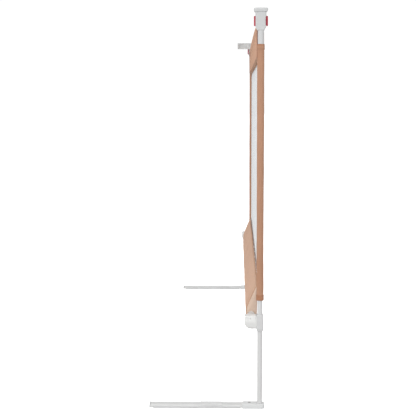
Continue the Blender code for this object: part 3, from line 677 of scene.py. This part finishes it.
# ---------------------------------------------------------------- soft pieces
def grid_object(name, pts, uvs, mats, wrap=True, caps=()):
    """A quad surface. pts is rings x points x 3 in metres; uvs is rings x (points + 1) x 2, in
    metres along the surface. wrap joins the last point of a ring to its first."""
    rings, n = pts.shape[:2]
    verts = pts.reshape(-1, 3)
    faces, fuv, mi = [], [], []
    m = n if wrap else n - 1
    for r in range(rings - 1):
        for i in range(m):
            j = (i + 1) % n
            faces.append((r * n + i, r * n + j, (r + 1) * n + j, (r + 1) * n + i))
            fuv += [uvs[r, i], uvs[r, i + 1], uvs[r + 1, i + 1], uvs[r + 1, i]]
            mi.append(0)
    me = bpy.data.meshes.new(name)
    me.from_pydata([tuple(v) for v in verts], [], faces)
    layer = me.uv_layers.new(name="weave")
    layer.data.foreach_set("uv", np.array(fuv, np.float32).ravel())
    for k in mats:
        me.materials.append(k)
    me.polygons.foreach_set("material_index", mi)
    me.shade_smooth()
    me.update()
    ob = bpy.data.objects.new(name, me)
    bpy.context.scene.collection.objects.link(ob)
    return ob


def world(x, y, z):
    """Rail frame in mm to the world in m; y from the middle of the rail."""
    return np.stack(np.broadcast_arrays((np.asarray(x) + POST_X) / 1000, np.asarray(y) / 1000, np.asarray(z) / 1000), axis=-1).astype(float)


def arc_length(loop, closed=True):
    p = np.array(loop, float)
    q = np.vstack([p, p[:1]]) if closed else p
    return np.concatenate([[0], np.cumsum(np.linalg.norm(np.diff(q, axis=0), axis=1))])


def resample(loop, step, keep=()):
    """An outline with points about step apart."""
    p = np.array(loop, float)
    s = arc_length(p)
    total = s[-1]
    n = max(8, int(round(total / step)))
    t = np.linspace(0, total, n, endpoint=False)
    q = np.vstack([p, p[:1]])
    return np.stack([np.interp(t, s, q[:, 0]), np.interp(t, s, q[:, 1])], axis=1)


def wave(y, seed, scales=((3.1, 1.0), (7.3, 0.55), (17.0, 0.3))):
    """A smooth, seeded, irregular wave along y (m), about -1 to 1."""
    r = np.random.default_rng(seed)
    out = 0
    for f, a in scales:
        out = out + a * np.sin(2 * np.pi * f * y * (0.9 + 0.2 * r.random()) + 2 * np.pi * r.random())
    return out / sum(a for _, a in scales)


def cord_mesh(name, path, r, mat, sides=10, closed=False, uv_pitch=1.0):
    """A round cord along a path of world points in metres, r in mm."""
    p = np.array(path, float)
    n = len(p)
    if closed:
        tang = np.roll(p, -1, 0) - np.roll(p, 1, 0)
    else:
        tang = np.gradient(p, axis=0)
    tang /= np.linalg.norm(tang, axis=1)[:, None]
    ref = np.array([0.0, 0.0, 1.0]) if abs(tang[0][2]) < 0.9 else np.array([1.0, 0.0, 0.0])
    side = np.cross(tang[0], ref)
    side /= np.linalg.norm(side)
    rings = []
    for t, c in zip(tang, p):
        side = side - t * side.dot(t)
        side /= np.linalg.norm(side)
        up = np.cross(t, side)
        a = 2 * np.pi * np.arange(sides) / sides
        rings.append(c + (np.cos(a)[:, None] * side + np.sin(a)[:, None] * up) * r / 1000)
    pts = np.array(rings)
    if closed:
        pts = np.concatenate([pts, pts[:1]])
    length = np.concatenate([[0], np.cumsum(np.linalg.norm(np.diff(pts.mean(1), axis=0), axis=1))])
    around = np.arange(sides + 1) / sides * 2 * np.pi * r / 1000
    uv = np.stack(np.broadcast_arrays(length[:, None], around[None, :]), axis=-1)
    ob = grid_object(name, pts, uv, [mat])
    if closed:
        bm = bmesh.new()
        bm.from_mesh(ob.data)
        bmesh.ops.remove_doubles(bm, verts=bm.verts[:], dist=1e-7)
        bm.to_mesh(ob.data)
        bm.free()
    else:
        bm = bmesh.new()
        bm.from_mesh(ob.data)
        bm.verts.ensure_lookup_table()
        ends = [[bm.verts[i] for i in ring] for ring in (range(sides), range((n - 1) * sides, n * sides))]
        for vs in ends:
            c = bm.verts.new(sum((v.co for v in vs), Vector()) / len(vs))
            for i in range(sides):
                bm.faces.new((vs[i], vs[(i + 1) % sides], c))
        bmesh.ops.recalc_face_normals(bm, faces=bm.faces[:])
        bm.to_mesh(ob.data)
        bm.free()
        ob.data.shade_smooth()
    return ob


def stitches(name, rows, mat, pitch=4.2, length=3.0, r=0.32, lift=0.12):
    """Rows of sewing stitches. Each row is (path, normals) in world metres: short thread
    ends dip into the cloth and the middle of each stitch stands a little proud."""
    verts, faces = [], []
    for path, normals in rows:
        p, nrm = np.array(path, float), np.array(normals, float)
        if nrm.ndim == 1:
            nrm = np.tile(nrm, (len(p), 1))
        s = np.concatenate([[0], np.cumsum(np.linalg.norm(np.diff(p, axis=0), axis=1))])
        count = int((s[-1] * 1000 - length) // pitch)
        for k in range(count + 1):
            at = (k * pitch + np.array([0.0, 0.18, 0.5, 0.82, 1.0]) * length + 0.5) / 1000
            at = np.minimum(at, s[-1])
            c = np.stack([np.interp(at, s, p[:, i]) for i in range(3)], axis=1)
            nn = np.stack([np.interp(at, s, nrm[:, i]) for i in range(3)], axis=1)
            nn /= np.linalg.norm(nn, axis=1)[:, None]
            c = c + nn * (np.array([-0.35, 0.4, 1.0, 0.4, -0.35]) * lift / 1000)[:, None]
            t = c[-1] - c[0]
            t /= np.linalg.norm(t)
            base = len(verts)
            for j in range(5):
                w = np.cross(t, nn[j])
                w /= np.linalg.norm(w)
                rad = r / 1000 * (0.55, 0.95, 1.0, 0.95, 0.55)[j]
                for a in range(5):
                    ang = 2 * math.pi * a / 5
                    verts.append(c[j] + (w * math.cos(ang) + nn[j] * math.sin(ang)) * rad)
            for j in range(4):
                for a in range(5):
                    b = (a + 1) % 5
                    faces.append((base + j * 5 + a, base + j * 5 + b, base + (j + 1) * 5 + b, base + (j + 1) * 5 + a))
            faces.append(tuple(base + a for a in range(5))[::-1])
            faces.append(tuple(base + 20 + a for a in range(5)))
    me = bpy.data.meshes.new(name)
    me.from_pydata([tuple(v) for v in verts], [], faces)
    me.materials.append(mat)
    me.shade_smooth()
    me.update()
    bm = bmesh.new()
    bm.from_mesh(me)
    bmesh.ops.recalc_face_normals(bm, faces=bm.faces[:])
    bm.to_mesh(me)
    bm.free()
    ob = bpy.data.objects.new(name, me)
    bpy.context.scene.collection.objects.link(ob)
    return ob


def end_caps(ob, first, last, n, centre_push, mat_index, rings=7, uv_scale=1.0):
    """Closes both ends of a grid object with crowned, gridded faces. first and last are the
    vertex offsets of the end rings; centre_push is how far the middle stands out, in metres."""
    bm = bmesh.new()
    bm.from_mesh(ob.data)
    bm.verts.ensure_lookup_table()
    uv = bm.loops.layers.uv.verify()
    ends = [([bm.verts[start + i] for i in range(n)], sign) for start, sign in ((first, -1), (last, 1))]
    for ring, sign in ends:
        c = sum((v.co for v in ring), Vector()) / n
        base = [v.co.copy() for v in ring]
        prev = ring
        made = []
        for k in range(1, rings):
            t = k / rings
            push = centre_push * (1 - (1 - t) ** 2)
            cur = [bm.verts.new(b.lerp(c, t) + Vector((0, sign * push, 0))) for b in base]
            for i in range(n):
                j = (i + 1) % n
                made.append(bm.faces.new((prev[i], prev[j], cur[j], cur[i])))
            prev = cur
        mid = bm.verts.new(c + Vector((0, sign * centre_push, 0)))
        for i in range(n):
            made.append(bm.faces.new((prev[i], prev[(i + 1) % n], mid)))
        for f in made:
            f.material_index = mat_index
            f.smooth = True
            for l in f.loops:
                l[uv].uv = (l.vert.co.x, l.vert.co.z)
    bmesh.ops.recalc_face_normals(bm, faces=bm.faces[:])
    if bm.calc_volume(signed=True) < 0:
        bmesh.ops.reverse_faces(bm, faces=bm.faces[:])
    bm.to_mesh(ob.data)
    bm.free()


# --- bumper: a stuffed wedge cover, crowned between its seams, gathered a little along them
BUMPER_HALF = 858.0
corners = np.array([(-5.6, 308.6), (-32.2, 238.0), (-33.4, 207.6), (-6.8, 207.6)])   # ridge, knee, front bottom, back bottom


def bumper_profile():
    """Points round the wedge, anticlockwise from the ridge, with for each the share of the way
    between the seams either side of it and the panel's outward direction."""
    pts, share, out, panel = [], [], [], []
    path = [("slope", corners[0], corners[1], 11), ("front", corners[1], corners[2], 6), ("under", corners[2], corners[3], 5), ("back", corners[3], corners[0], 14)]
    for k, (_, a, b, n) in enumerate(path):
        d = (b - a) / np.linalg.norm(b - a)
        nrm = np.array([-d[1], d[0]]) * -1.0
        for i in range(n):
            t = i / n
            pts.append(a + (b - a) * t)
            share.append(t)
            out.append(nrm)
            panel.append(k)
    return np.array(pts), np.array(share), np.array(out), np.array(panel)


bp, bs, bo, bk = bumper_profile()
centre = corners.mean(0)
bo = np.where(((bp - centre) * bo).sum(1, keepdims=True) < 0, -bo, bo)
ny = 190
ys = np.linspace(-BUMPER_HALF, BUMPER_HALF, ny)
# the slope and the front are one panel of cloth over the knee: crown runs over both
slope_len, front_len = np.linalg.norm(corners[1] - corners[0]), np.linalg.norm(corners[2] - corners[1])
pts = np.zeros((ny, len(bp), 3))
for r, y in enumerate(ys):
    ym = y / 1000
    end_fade = min(1.0, (BUMPER_HALF - abs(y)) / 45.0)
    end_fade = math.sin(end_fade * math.pi / 2)
    q = bp.copy()
    for i in range(len(bp)):
        if bk[i] in (0, 1):
            along = bs[i] * slope_len if bk[i] == 0 else slope_len + bs[i] * front_len
            t = along / (slope_len + front_len)
            crown = 3.2 * math.sin(math.pi * t) ** 0.8
            near = math.exp(-along / 14.0) + math.exp(-(slope_len + front_len - along) / 12.0)
            wr = (wave(ym + t * 0.05, 3, ((9.0, 0.6), (21.0, 1.0), (34.0, 0.7))) * 1.3 * near
                  + wave(ym + t * 0.13, 5, ((2.2, 1.0), (5.1, 0.8), (11.0, 0.5))) * 1.5 * math.sin(math.pi * t))
        elif bk[i] == 2:
            t = bs[i]
            crown = 1.4 * math.sin(math.pi * t)
            wr = wave(ym, 8, ((6.0, 1.0), (15.0, 0.7))) * 0.4 * math.sin(math.pi * t)
        else:
            t = bs[i]
            crown = 1.3 * math.sin(math.pi * t)
            wr = wave(ym + t * 0.06, 9, ((4.0, 1.0), (13.0, 0.8), (27.0, 0.5))) * 0.5 * math.sin(math.pi * t)
        q[i] = bp[i] + bo[i] * (crown * (0.35 + 0.65 * end_fade) + wr * end_fade)
    droop = max(0.0, 1.0 - (BUMPER_HALF - abs(y)) / 38.0) ** 2
    q[:, 1] = 208.0 + (q[:, 1] - 208.0) * (1.0 - 0.14 * droop)
    pts[r] = world(q[:, 0], y, q[:, 1])
arc = arc_length(bp) / 1000
uv = np.stack(np.broadcast_arrays(ys[:, None] / 1000, arc[None, :]), axis=-1)
bumper = grid_object("bumper_cover", pts, uv, [M["bumper"], M["lit_bumper_end"]])
# the end panels take the lighter copy of the cloth: painted light on them
end_caps(bumper, 0, (ny - 1) * len(bp), len(bp), 0.004, 1)
sub = bumper.modifiers.new("soft", "SUBSURF")
sub.levels = sub.render_levels = 1
flatten(bumper)
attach(bumper, "carriage")
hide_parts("bumper")


def surface(ob, rings, n):
    """A smoothed grid object's own points, still in rings: smoothing keeps their order."""
    co = np.zeros(len(ob.data.vertices) * 3)
    ob.data.vertices.foreach_get("co", co)
    return co.reshape(-1, 3)[:rings * n].reshape(rings, n, 3)


def ride_soft(ob, body):
    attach(ob, body)
    return ob


# piping round the bumper's end panels and along its ridge and lower edges
pts = surface(bumper, ny, len(bp))


def seam_path(index):
    return [pts[r, index] for r in range(0, ny)]


k_front = 11 + 6
k_back = 11 + 6 + 5
for nm, idx in (("ridge", 0), ("front_edge", k_front), ("back_edge", k_back)):
    ride_soft(cord_mesh("bumper_piping_" + nm, seam_path(idx), 1.5, M["binding"]), "carriage")
for nm, r in (("a", 0), ("b", ny - 1)):
    ride_soft(cord_mesh("bumper_piping_end_" + nm, [pts[r, i] for i in range(len(bp))], 1.1, M["piping"], closed=True), "carriage")
rows = []
# a row of top stitching beside the ridge and beside the lower front edge
for idx in (1, k_front - 1):
    rows.append(([pts[r, idx] for r in range(1, ny - 1)], [(bo[idx][0], 0.0, bo[idx][1])] * (ny - 2)))
ride_soft(stitches("bumper_stitching", rows, M["thread"]), "carriage")
# elastic collars where the beam leaves the bumper
for tag, s in (("a", -1), ("b", 1)):
    ring = [world(LOW_BEAM_X + 9.5 * math.cos(a), s * (BUMPER_HALF + 3.4), LOW_BEAM_Z + 9.5 * math.sin(a)) for a in np.linspace(0, 2 * math.pi, 48, endpoint=False)]
    ride_soft(cord_mesh("bumper_beam_collar_" + tag, ring, 0.6, M["lit_bumper_end"], closed=True), "carriage")

# --- top band: a padded cover over the beam
BAND_HALF = 959.5
outline = [(BAND_R * math.cos(math.pi * i / 16), TOP_BEAM_Z + BAND_R * math.sin(math.pi * i / 16)) for i in range(17)]
outline += fillet([(-BAND_R, BAND_HEM_Z + 0.6), (BAND_R, BAND_HEM_Z + 0.6), (BAND_R, TOP_BEAM_Z - 20)], [3.0, 3.0, 0], 6)
bl = resample(outline, 5.0)
nb = len(bl)
tb = np.roll(bl, -1, 0) - np.roll(bl, 1, 0)
bn = np.stack([tb[:, 1], -tb[:, 0]], axis=1)
bn /= np.linalg.norm(bn, axis=1)[:, None]
if ((bl - bl.mean(0)) * bn).sum() < 0:
    bn = -bn
nyb = 220
yb = np.linspace(-BAND_HALF, BAND_HALF, nyb)
bpts = np.zeros((nyb, nb, 3))
zz = bl[:, 1]
side = np.clip((TOP_BEAM_Z - 8 - zz) / 90.0, 0, 1)          # 0 at the beam, 1 at the hem
belly = np.sin(np.pi * np.clip((TOP_BEAM_Z - 4 - zz) / 92.0, 0, 1))
tuck = np.exp(-((zz - (TOP_BEAM_Z - 14.0)) / 3.0) ** 2)     # a sewn channel line under the beam
for r, y in enumerate(yb):
    ym = y / 1000
    fade = math.sin(min(1.0, (BAND_HALF - abs(y)) / 30.0) * math.pi / 2)
    w1 = wave(ym + side * 0.03, 21, ((2.6, 1.0), (6.1, 0.8), (12.0, 0.5)))
    w2 = wave(ym + np.sign(bl[:, 0]) * 0.2, 22, ((15.0, 1.0), (26.0, 0.8), (41.0, 0.5)))
    d = belly * (0.6 * w1 * fade + 0.8) * np.where(bl[:, 0] < 0, 1.0, 0.45) - tuck * (1.6 + 0.5 * w2 * fade) + w2 * 0.35 * fade * (np.exp(-((zz - BAND_HEM_Z - 10) / 9.0) ** 2) + np.exp(-((zz - (TOP_BEAM_Z - 22.0)) / 7.0) ** 2))
    # thicker padding round the beam on the mattress side, none at the ends
    d = d + 3.8 * (1 - (y / BAND_HALF) ** 4) * np.clip(-bl[:, 0] / BAND_R, 0, 1) * np.exp(-((zz - (TOP_BEAM_Z + 1.0)) / 13.0) ** 2)
    q = bl + bn * d[:, None]
    bpts[r] = world(q[:, 0], y, q[:, 1])
arcb = arc_length(bl) / 1000
uvb = np.stack(np.broadcast_arrays(yb[:, None] / 1000, arcb[None, :]), axis=-1)
band = grid_object("top_band_cover", bpts, uvb, [M["band"], M["band"]])
end_caps(band, 0, (nyb - 1) * nb, nb, 0.0004, 1, 4)
sub = band.modifiers.new("soft", "SUBSURF")
sub.levels = sub.render_levels = 1
flatten(band)
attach(band, "top_rail")
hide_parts("top_band")
bpts = surface(band, nyb, nb)


def strip_around(name, outline2, y0, y1, out, thick, mat, steps, uvk=1.0, wob=0.0, seed=0):
    """A folded tape over an edge: follows outline2 (x, z), from y0 to y1, standing out of it."""
    o = np.array(outline2, float)
    t = np.gradient(o, axis=0)
    n = np.stack([t[:, 1], -t[:, 0]], axis=1)
    n /= np.linalg.norm(n, axis=1)[:, None]
    if ((o - o.mean(0)) * n).sum() < 0:
        n = -n
    ysn = np.linspace(y0, y1, steps)
    m = len(o)
    outer, inner = o + n * (out + thick), o + n * out
    ring = np.vstack([outer, inner[::-1]])
    P = np.zeros((steps, len(ring), 3))
    for r, y in enumerate(ysn):
        k = wob * wave(y / 1000, seed, ((5.0, 1.0), (14.0, 0.8), (31.0, 0.5)))
        q = ring.copy()
        q[:, 1] += k * 0.5
        P[r] = world(q[:, 0], y, q[:, 1])
    al = arc_length(ring) / 1000
    uvs = np.stack(np.broadcast_arrays(ysn[:, None] / 1000, al[None, :]), axis=-1)
    ob = grid_object(name, P, uvs, [mat])
    bm = bmesh.new()
    bm.from_mesh(ob.data)
    bm.verts.ensure_lookup_table()
    k = len(ring)
    bm.faces.new([bm.verts[i] for i in range(k)][::-1])
    bm.faces.new([bm.verts[(steps - 1) * k + i] for i in range(k)])
    bmesh.ops.recalc_face_normals(bm, faces=bm.faces[:])
    bm.to_mesh(ob.data)
    bm.free()
    ob.data.shade_smooth()
    ob.data.set_sharp_from_angle(angle=math.radians(60))
    return ob


# hem binding: a folded tape under the band, which holds the mesh's top edge
hem = fillet([(-BAND_R, BAND_HEM_Z + 7.0), (-BAND_R, BAND_HEM_Z + 0.6), (BAND_R, BAND_HEM_Z + 0.6), (BAND_R, BAND_HEM_Z + 7.0)], [0, 3.0, 3.0, 0], 8)
ride_soft(strip_around("top_band_hem_binding", hem, -BAND_HALF, BAND_HALF, 0.2, 0.5, M["binding"], 120, wob=0.8, seed=31), "top_rail")
# piping round each end
for tag, r in (("a", 0), ("b", nyb - 1)):
    loop = world(bl[:, 0] * 0.90 - 1.93, yb[r], TOP_BEAM_Z - 45.0 + (bl[:, 1] - TOP_BEAM_Z + 45.0) * 0.985)
    ride_soft(cord_mesh("top_band_end_piping_" + tag, loop, 1.3, M["end_piping"], closed=True), "top_rail")
# stitching: a row along the channel under the beam and one above the hem, on both faces
rows = []
for z in (TOP_BEAM_Z - 14.0, BAND_HEM_Z + 9.4):
    for s in (-1, 1):
        i = int(np.argmin((bl[:, 1] - z) ** 2 + (bl[:, 0] - s * BAND_R) ** 2))
        rows.append(([bpts[r, i] for r in range(1, nyb - 1)], [(s, 0.0, 0.0)] * (nyb - 2)))
ride_soft(stitches("top_band_stitching", rows, M["thread"]), "top_rail")

# --- mesh panel: one sheet of net from the lower hem to the band
MESH_TOP = BAND_HEM_Z + 0.9
MESH_HALF = 961.0
rows_z = 44
cols_y = 150
zs = np.linspace(MESH_Z0 + 2.0, MESH_TOP, rows_z)
ysm = np.linspace(-MESH_HALF, MESH_HALF, cols_y)
mp = np.zeros((rows_z, cols_y, 3))


def mesh_x(y, t):
    """How far the net stands from the posts' middle, at y and at the share t of its height."""
    edge = np.sin(np.clip((MESH_HALF - np.abs(y)) / 120.0, 0, 1) * np.pi / 2)
    slack = 0.35 * wave(y / 1000 + t * 0.15, 41, ((0.8, 1.0), (1.9, 0.7), (3.3, 0.2))) - 0.2
    return -0.9 + math.sin(math.pi * t) ** 0.7 * edge * slack + 0.2 * math.exp(-t * 14) * wave(y / 1000, 42, ((6.0, 1.0), (11.0, 0.8)))


for i, z in enumerate(zs):
    t = (z - zs[0]) / (zs[-1] - zs[0])
    x = mesh_x(ysm, t)
    mp[i] = world(x, ysm, z)
uvm = np.stack(np.broadcast_arrays(ysm[None, :] / 1000, zs[:, None] / 1000), axis=-1)
net = grid_object("mesh_panel", mp, uvm, [M["mesh"]], wrap=False)
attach(net, "base")
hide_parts("mesh_panel_upper", "mesh_panel_lower")
# the knit's raised wales: fine upright ribs that stand out of both faces
wy = np.arange(-MESH_HALF + 3.0, MESH_HALF - 3.0, 6.8)
wz = np.linspace(0, 1, 12)
wv, wf = [], []
for y in wy:
    b = len(wv)
    for t in wz:
        x = float(mesh_x(np.array([y]), t)[0])
        z = zs[0] + t * (zs[-1] - zs[0])
        for dx, dy in ((-0.28, 0.0), (0.0, 0.16), (0.28, 0.0), (0.0, -0.16)):
            wv.append(tuple(world(x + dx, y + dy, z)))
    for k in range(len(wz) - 1):
        for i in range(4):
            j = (i + 1) % 4
            wf.append((b + k * 4 + i, b + k * 4 + j, b + (k + 1) * 4 + j, b + (k + 1) * 4 + i))
    wf.append((b, b + 3, b + 2, b + 1))
    e = b + (len(wz) - 1) * 4
    wf.append((e, e + 1, e + 2, e + 3))
wme = bpy.data.meshes.new("mesh_wales")
wme.from_pydata(wv, [], wf)
wme.materials.append(M["mesh_thread"])
wme.update()
bm = bmesh.new()
bm.from_mesh(wme)
bmesh.ops.recalc_face_normals(bm, faces=bm.faces[:])
bm.to_mesh(wme)
bm.free()
wales = bpy.data.objects.new("mesh_wales", wme)
bpy.context.scene.collection.objects.link(wales)
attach(wales, "base")
for ob in (net, wales):
    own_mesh(ob)


def flat_tape(name, path, width_dir, normal, width, thick, mat, seed, wob=0.0, fold=0.6):
    """A woven tape folded over an edge, along a straight path of world points."""
    p = np.array(path, float)
    w, nrm = np.array(width_dir, float), np.array(normal, float)
    prof = [(-0.5, -1.0), (0.0, -1.0), (0.5, -1.0), (0.56, -0.5), (0.58, 0.0), (0.56, 0.5), (0.5, 1.0), (0.0, 1.0), (-0.5, 1.0)]
    s = np.concatenate([[0], np.cumsum(np.linalg.norm(np.diff(p, axis=0), axis=1))])
    P = np.zeros((len(p), len(prof), 3))
    for r in range(len(p)):
        k = wob * wave(s[r], seed, ((6.0, 1.0), (13.0, 0.8), (29.0, 0.6)))
        for i, (a, b) in enumerate(prof):
            P[r, i] = p[r] + w * (a * width / 1000) + nrm * (b * thick / 2000 + k / 1000)
    al = arc_length([(a * width, b * thick / 2) for a, b in prof]) / 1000
    uvs = np.stack(np.broadcast_arrays(s[:, None], al[None, :]), axis=-1)
    ob = grid_object(name, P, uvs, [mat])
    bm = bmesh.new()
    bm.from_mesh(ob.data)
    bm.verts.ensure_lookup_table()
    n = len(prof)
    bm.faces.new([bm.verts[i] for i in range(n)][::-1])
    bm.faces.new([bm.verts[(len(p) - 1) * n + i] for i in range(n)])
    bmesh.ops.recalc_face_normals(bm, faces=bm.faces[:])
    bm.to_mesh(ob.data)
    bm.free()
    ob.data.shade_smooth()
    ob.data.set_sharp_from_angle(angle=math.radians(60))
    return ob


# lower hem: tape folded over the mesh's bottom edge
path = [world(-0.9, y, MESH_Z0 + 5.0) for y in np.linspace(-MESH_HALF - 1.0, MESH_HALF + 1.0, 160)]
hem_tape = flat_tape("mesh_lower_hem", path, (0, 0, -1), (1, 0, 0), 10.0, 1.7, M["mesh_tape"], 51, wob=0.35)
ride_soft(hem_tape, "base")
rows = [([world(-0.9 + s * 0.85, y, MESH_Z0 + 8.0) for y in np.linspace(-MESH_HALF, MESH_HALF, 160)], (s, 0, 0)) for s in (-1, 1)]
on_net = [wales, hem_tape, ride_soft(stitches("mesh_hem_stitching", rows, M["thread_light"], pitch=4.6), "base")]
# side bindings join the mesh to the post covers
for tag, s in (("a", -1), ("b", 1)):
    path = [world(-0.9, s * 957.5, z) for z in np.linspace(MESH_Z0 + 0.5, BAND_HEM_Z - 3.5, 60)]
    tape = flat_tape("mesh_side_binding_" + tag, path, (0, s, 0), (1, 0, 0), 9.0, 1.7, M["sleeve"], 60, wob=0.0)
    ride_soft(tape, "base")
    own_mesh(tape)
    rows = [([world(-0.9 + k * 0.85, s * 954.6, z) for z in np.linspace(MESH_Z0 + 6, BAND_HEM_Z - 4.0, 60)], (k, 0, 0)) for k in (-1, 1)]
    st = ride_soft(stitches("mesh_side_stitching_" + tag, rows, M["thread"]), "base")
    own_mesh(st)
    on_net += [tape, st]

# --- post covers: fabric tubes over both telescoping tubes, gathered a little at the cuffs
SLEEVE_Z0, SLEEVE_Z1 = 275.0, 913.0
for tag, s in (("a", -1), ("b", 1)):
    base = np.array(rrect(16.6, 23.6, 6.9, 9))
    t = np.roll(base, -1, 0) - np.roll(base, 1, 0)
    nn = np.stack([t[:, 1], -t[:, 0]], axis=1)
    nn /= np.linalg.norm(nn, axis=1)[:, None]
    if (base * nn).sum() < 0:
        nn = -nn
    zc = np.concatenate([np.linspace(SLEEVE_Z0, SLEEVE_Z0 + 16, 10), np.linspace(SLEEVE_Z0 + 18, SLEEVE_Z1 - 18, 150), np.linspace(SLEEVE_Z1 - 16, SLEEVE_Z1, 10)])
    P = np.zeros((len(zc), len(base), 3))
    ang = np.arctan2(base[:, 1], base[:, 0])
    for r, z in enumerate(zc):
        d0, d1 = z - SLEEVE_Z0, SLEEVE_Z1 - z
        cuff = 0.0
        for d in (d0, d1):
            if d <= 14.5:
                cuff = 0.75 * min(1.0, (14.5 - d) / 0.9 if d > 13.6 else 1.0) * (1.0 if d > 0.6 else 0.55)
        groove = -0.25 * (math.exp(-((d0 - 15.4) / 1.1) ** 2) + math.exp(-((d1 - 15.4) / 1.1) ** 2))
        pucker = 0.22 * (math.exp(-(max(d0 - 14, 0)) / 16.0) + math.exp(-(max(d1 - 14, 0)) / 16.0)) * np.sin(ang * 7 + 1.3 * math.sin(z * 0.05)) * (1.0 if 14.5 < d0 and 14.5 < d1 else 0.3)
        slow = 0.22 * np.sin(ang * 2 + z * 0.013 + s) + 0.16 * np.sin(ang * 3 - z * 0.031) + 0.10 * math.sin(z * 0.11 + 2 * math.sin(z * 0.017))
        d = 0.35 + cuff + groove + pucker + slow
        q = base + nn * (np.maximum(d, 0.12))[:, None]
        P[r] = world(q[:, 0], s * POST_Y - s * q[:, 1], z)
    al = arc_length(base) / 1000
    zuv = np.concatenate([[0], np.cumsum(np.diff(zc))]) / 1000
    uvs = np.stack(np.broadcast_arrays(al[None, :], zuv[:, None]), axis=-1)
    cover_ob = grid_object("post_cover_" + tag, P, uvs, [M["sleeve"], M["cuff"]])
    ring_of = np.repeat(np.arange(len(zc) - 1), len(base))
    mid = (zc[ring_of] + zc[ring_of + 1]) / 2
    cover_ob.data.polygons.foreach_set("material_index", ((mid < SLEEVE_Z0 + 14.2) | (mid > SLEEVE_Z1 - 3.4)).astype(np.int32))
    sol = cover_ob.modifiers.new("cloth", "SOLIDIFY")
    sol.thickness = 0.0005
    sol.offset = -1.0 if s < 0 else 1.0
    bm = bmesh.new()
    bm.from_mesh(cover_ob.data)
    bmesh.ops.recalc_face_normals(bm, faces=bm.faces[:])
    bm.to_mesh(cover_ob.data)
    bm.free()
    sol.offset = -1.0
    flatten(cover_ob)
    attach(cover_ob, "base")
    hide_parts("post_sleeve_" + tag)
    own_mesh(cover_ob)
    # cuff stitching, one ring at each end
    rows = []
    for z in (SLEEVE_Z0 + 11.6, SLEEVE_Z1 - 11.6):
        q = base + nn * 1.35
        ringp = world(q[:, 0], s * POST_Y - s * q[:, 1], z)
        ringp = np.vstack([ringp, ringp[:1]])
        nr = np.stack([nn[:, 0], -s * nn[:, 1], np.zeros(len(nn))], axis=1)
        nr = np.vstack([nr, nr[:1]])
        rows.append((ringp, nr))
    st = ride_soft(stitches("post_cover_stitching_" + tag, rows, M["thread"], pitch=3.6, length=2.6), "base")
    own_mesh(st)

# ---------------------------------------------------------------- stage
floor_me = bpy.data.meshes.new("floor")
floor_me.from_pydata([(-30, -12, -0.0005), (30, -12, -0.0005), (30, 60, -0.0005), (-30, 60, -0.0005)], [], [(0, 1, 2, 3)])
floor = bpy.data.objects.new("floor", floor_me)
bpy.context.scene.collection.objects.link(floor)
ft = Tree("floor")
fn = ft.noise(ft.coords(), 3.0, 2.0)
ft.link(ft.mix(ft.ramp(fn, 0.3, 0.7), (0.90, 0.90, 0.90), (0.91, 0.91, 0.91)), ft.bsdf.inputs["Base Color"])
ft.bsdf.inputs["Roughness"].default_value = 0.9
ft.bsdf.inputs["Specular IOR Level"].default_value = 0.1
ft.bsdf.inputs["Emission Color"].default_value = (1, 1, 1, 1)
ft.bsdf.inputs["Emission Strength"].default_value = 0.75
floor_me.materials.append(ft.mat)
floor.visible_diffuse = False


def area(name, at, look, size, power, colour=(1, 1, 1), gloss=True):
    d = bpy.data.lights.new(name, "AREA")
    d.shape, d.size, d.energy, d.color = "SQUARE", size, power, colour
    o = bpy.data.objects.new(name, d)
    bpy.context.scene.collection.objects.link(o)
    o.location = at
    o.visible_glossy = gloss
    o.rotation_euler = (Vector(look) - Vector(at)).to_track_quat("-Z", "Y").to_euler()
    return o


area("key", (-2.8, -4.2, 3.0), (0.1, -0.4, 0.5), 2.4, 82)
area("fill", (3.4, -2.2, 2.2), (0.1, 0.0, 0.5), 2.6, 20, gloss=False)
area("back", (1.8, 5.0, 2.8), (0.1, 0.4, 0.5), 2.6, 44, gloss=False)
area("top", (0.0, 0.0, 4.6), (0.0, 0.0, 0.0), 3.5, 60)
area("low", (-0.5, -3.9, 0.55), (0.0, -0.9, 0.02), 1.2, 16)

w = bpy.data.worlds.new("studio")
bpy.context.scene.world = w
w.use_nodes = True
wn = w.node_tree
bg = wn.nodes["Background"]
bg.inputs["Color"].default_value = (1, 1, 1, 1)
bg.inputs["Strength"].default_value = 0.53
bg2 = wn.nodes.new("ShaderNodeBackground")
bg2.inputs["Color"].default_value = (1, 1, 1, 1)
bg2.inputs["Strength"].default_value = 1.05
lp = wn.nodes.new("ShaderNodeLightPath")
mx = wn.nodes.new("ShaderNodeMixShader")
wn.links.new(lp.outputs["Is Camera Ray"], mx.inputs[0])
wn.links.new(bg.outputs[0], mx.inputs[1])
wn.links.new(bg2.outputs[0], mx.inputs[2])
wn.links.new(mx.outputs[0], wn.nodes["World Output"].inputs["Surface"])

bpy.context.scene.view_settings.view_transform = "Standard"
bpy.context.scene.view_settings.look = "None"

cam = bpy.data.cameras.new("camera")
cam.sensor_width = 36.0
cam.lens = 106.229
cam.clip_start, cam.clip_end = 0.05, 200.0
co = bpy.data.objects.new("camera", cam)
bpy.context.scene.collection.objects.link(co)
co.location = (0.07456, -4.03167, 0.77917)
yaw, pitch = math.radians(1.3923), math.radians(5.0898)
fwd = Vector((-math.sin(yaw) * math.cos(pitch), math.cos(yaw) * math.cos(pitch), -math.sin(pitch)))
co.rotation_euler = fwd.to_track_quat("-Z", "Y").to_euler()
bpy.context.scene.camera = co
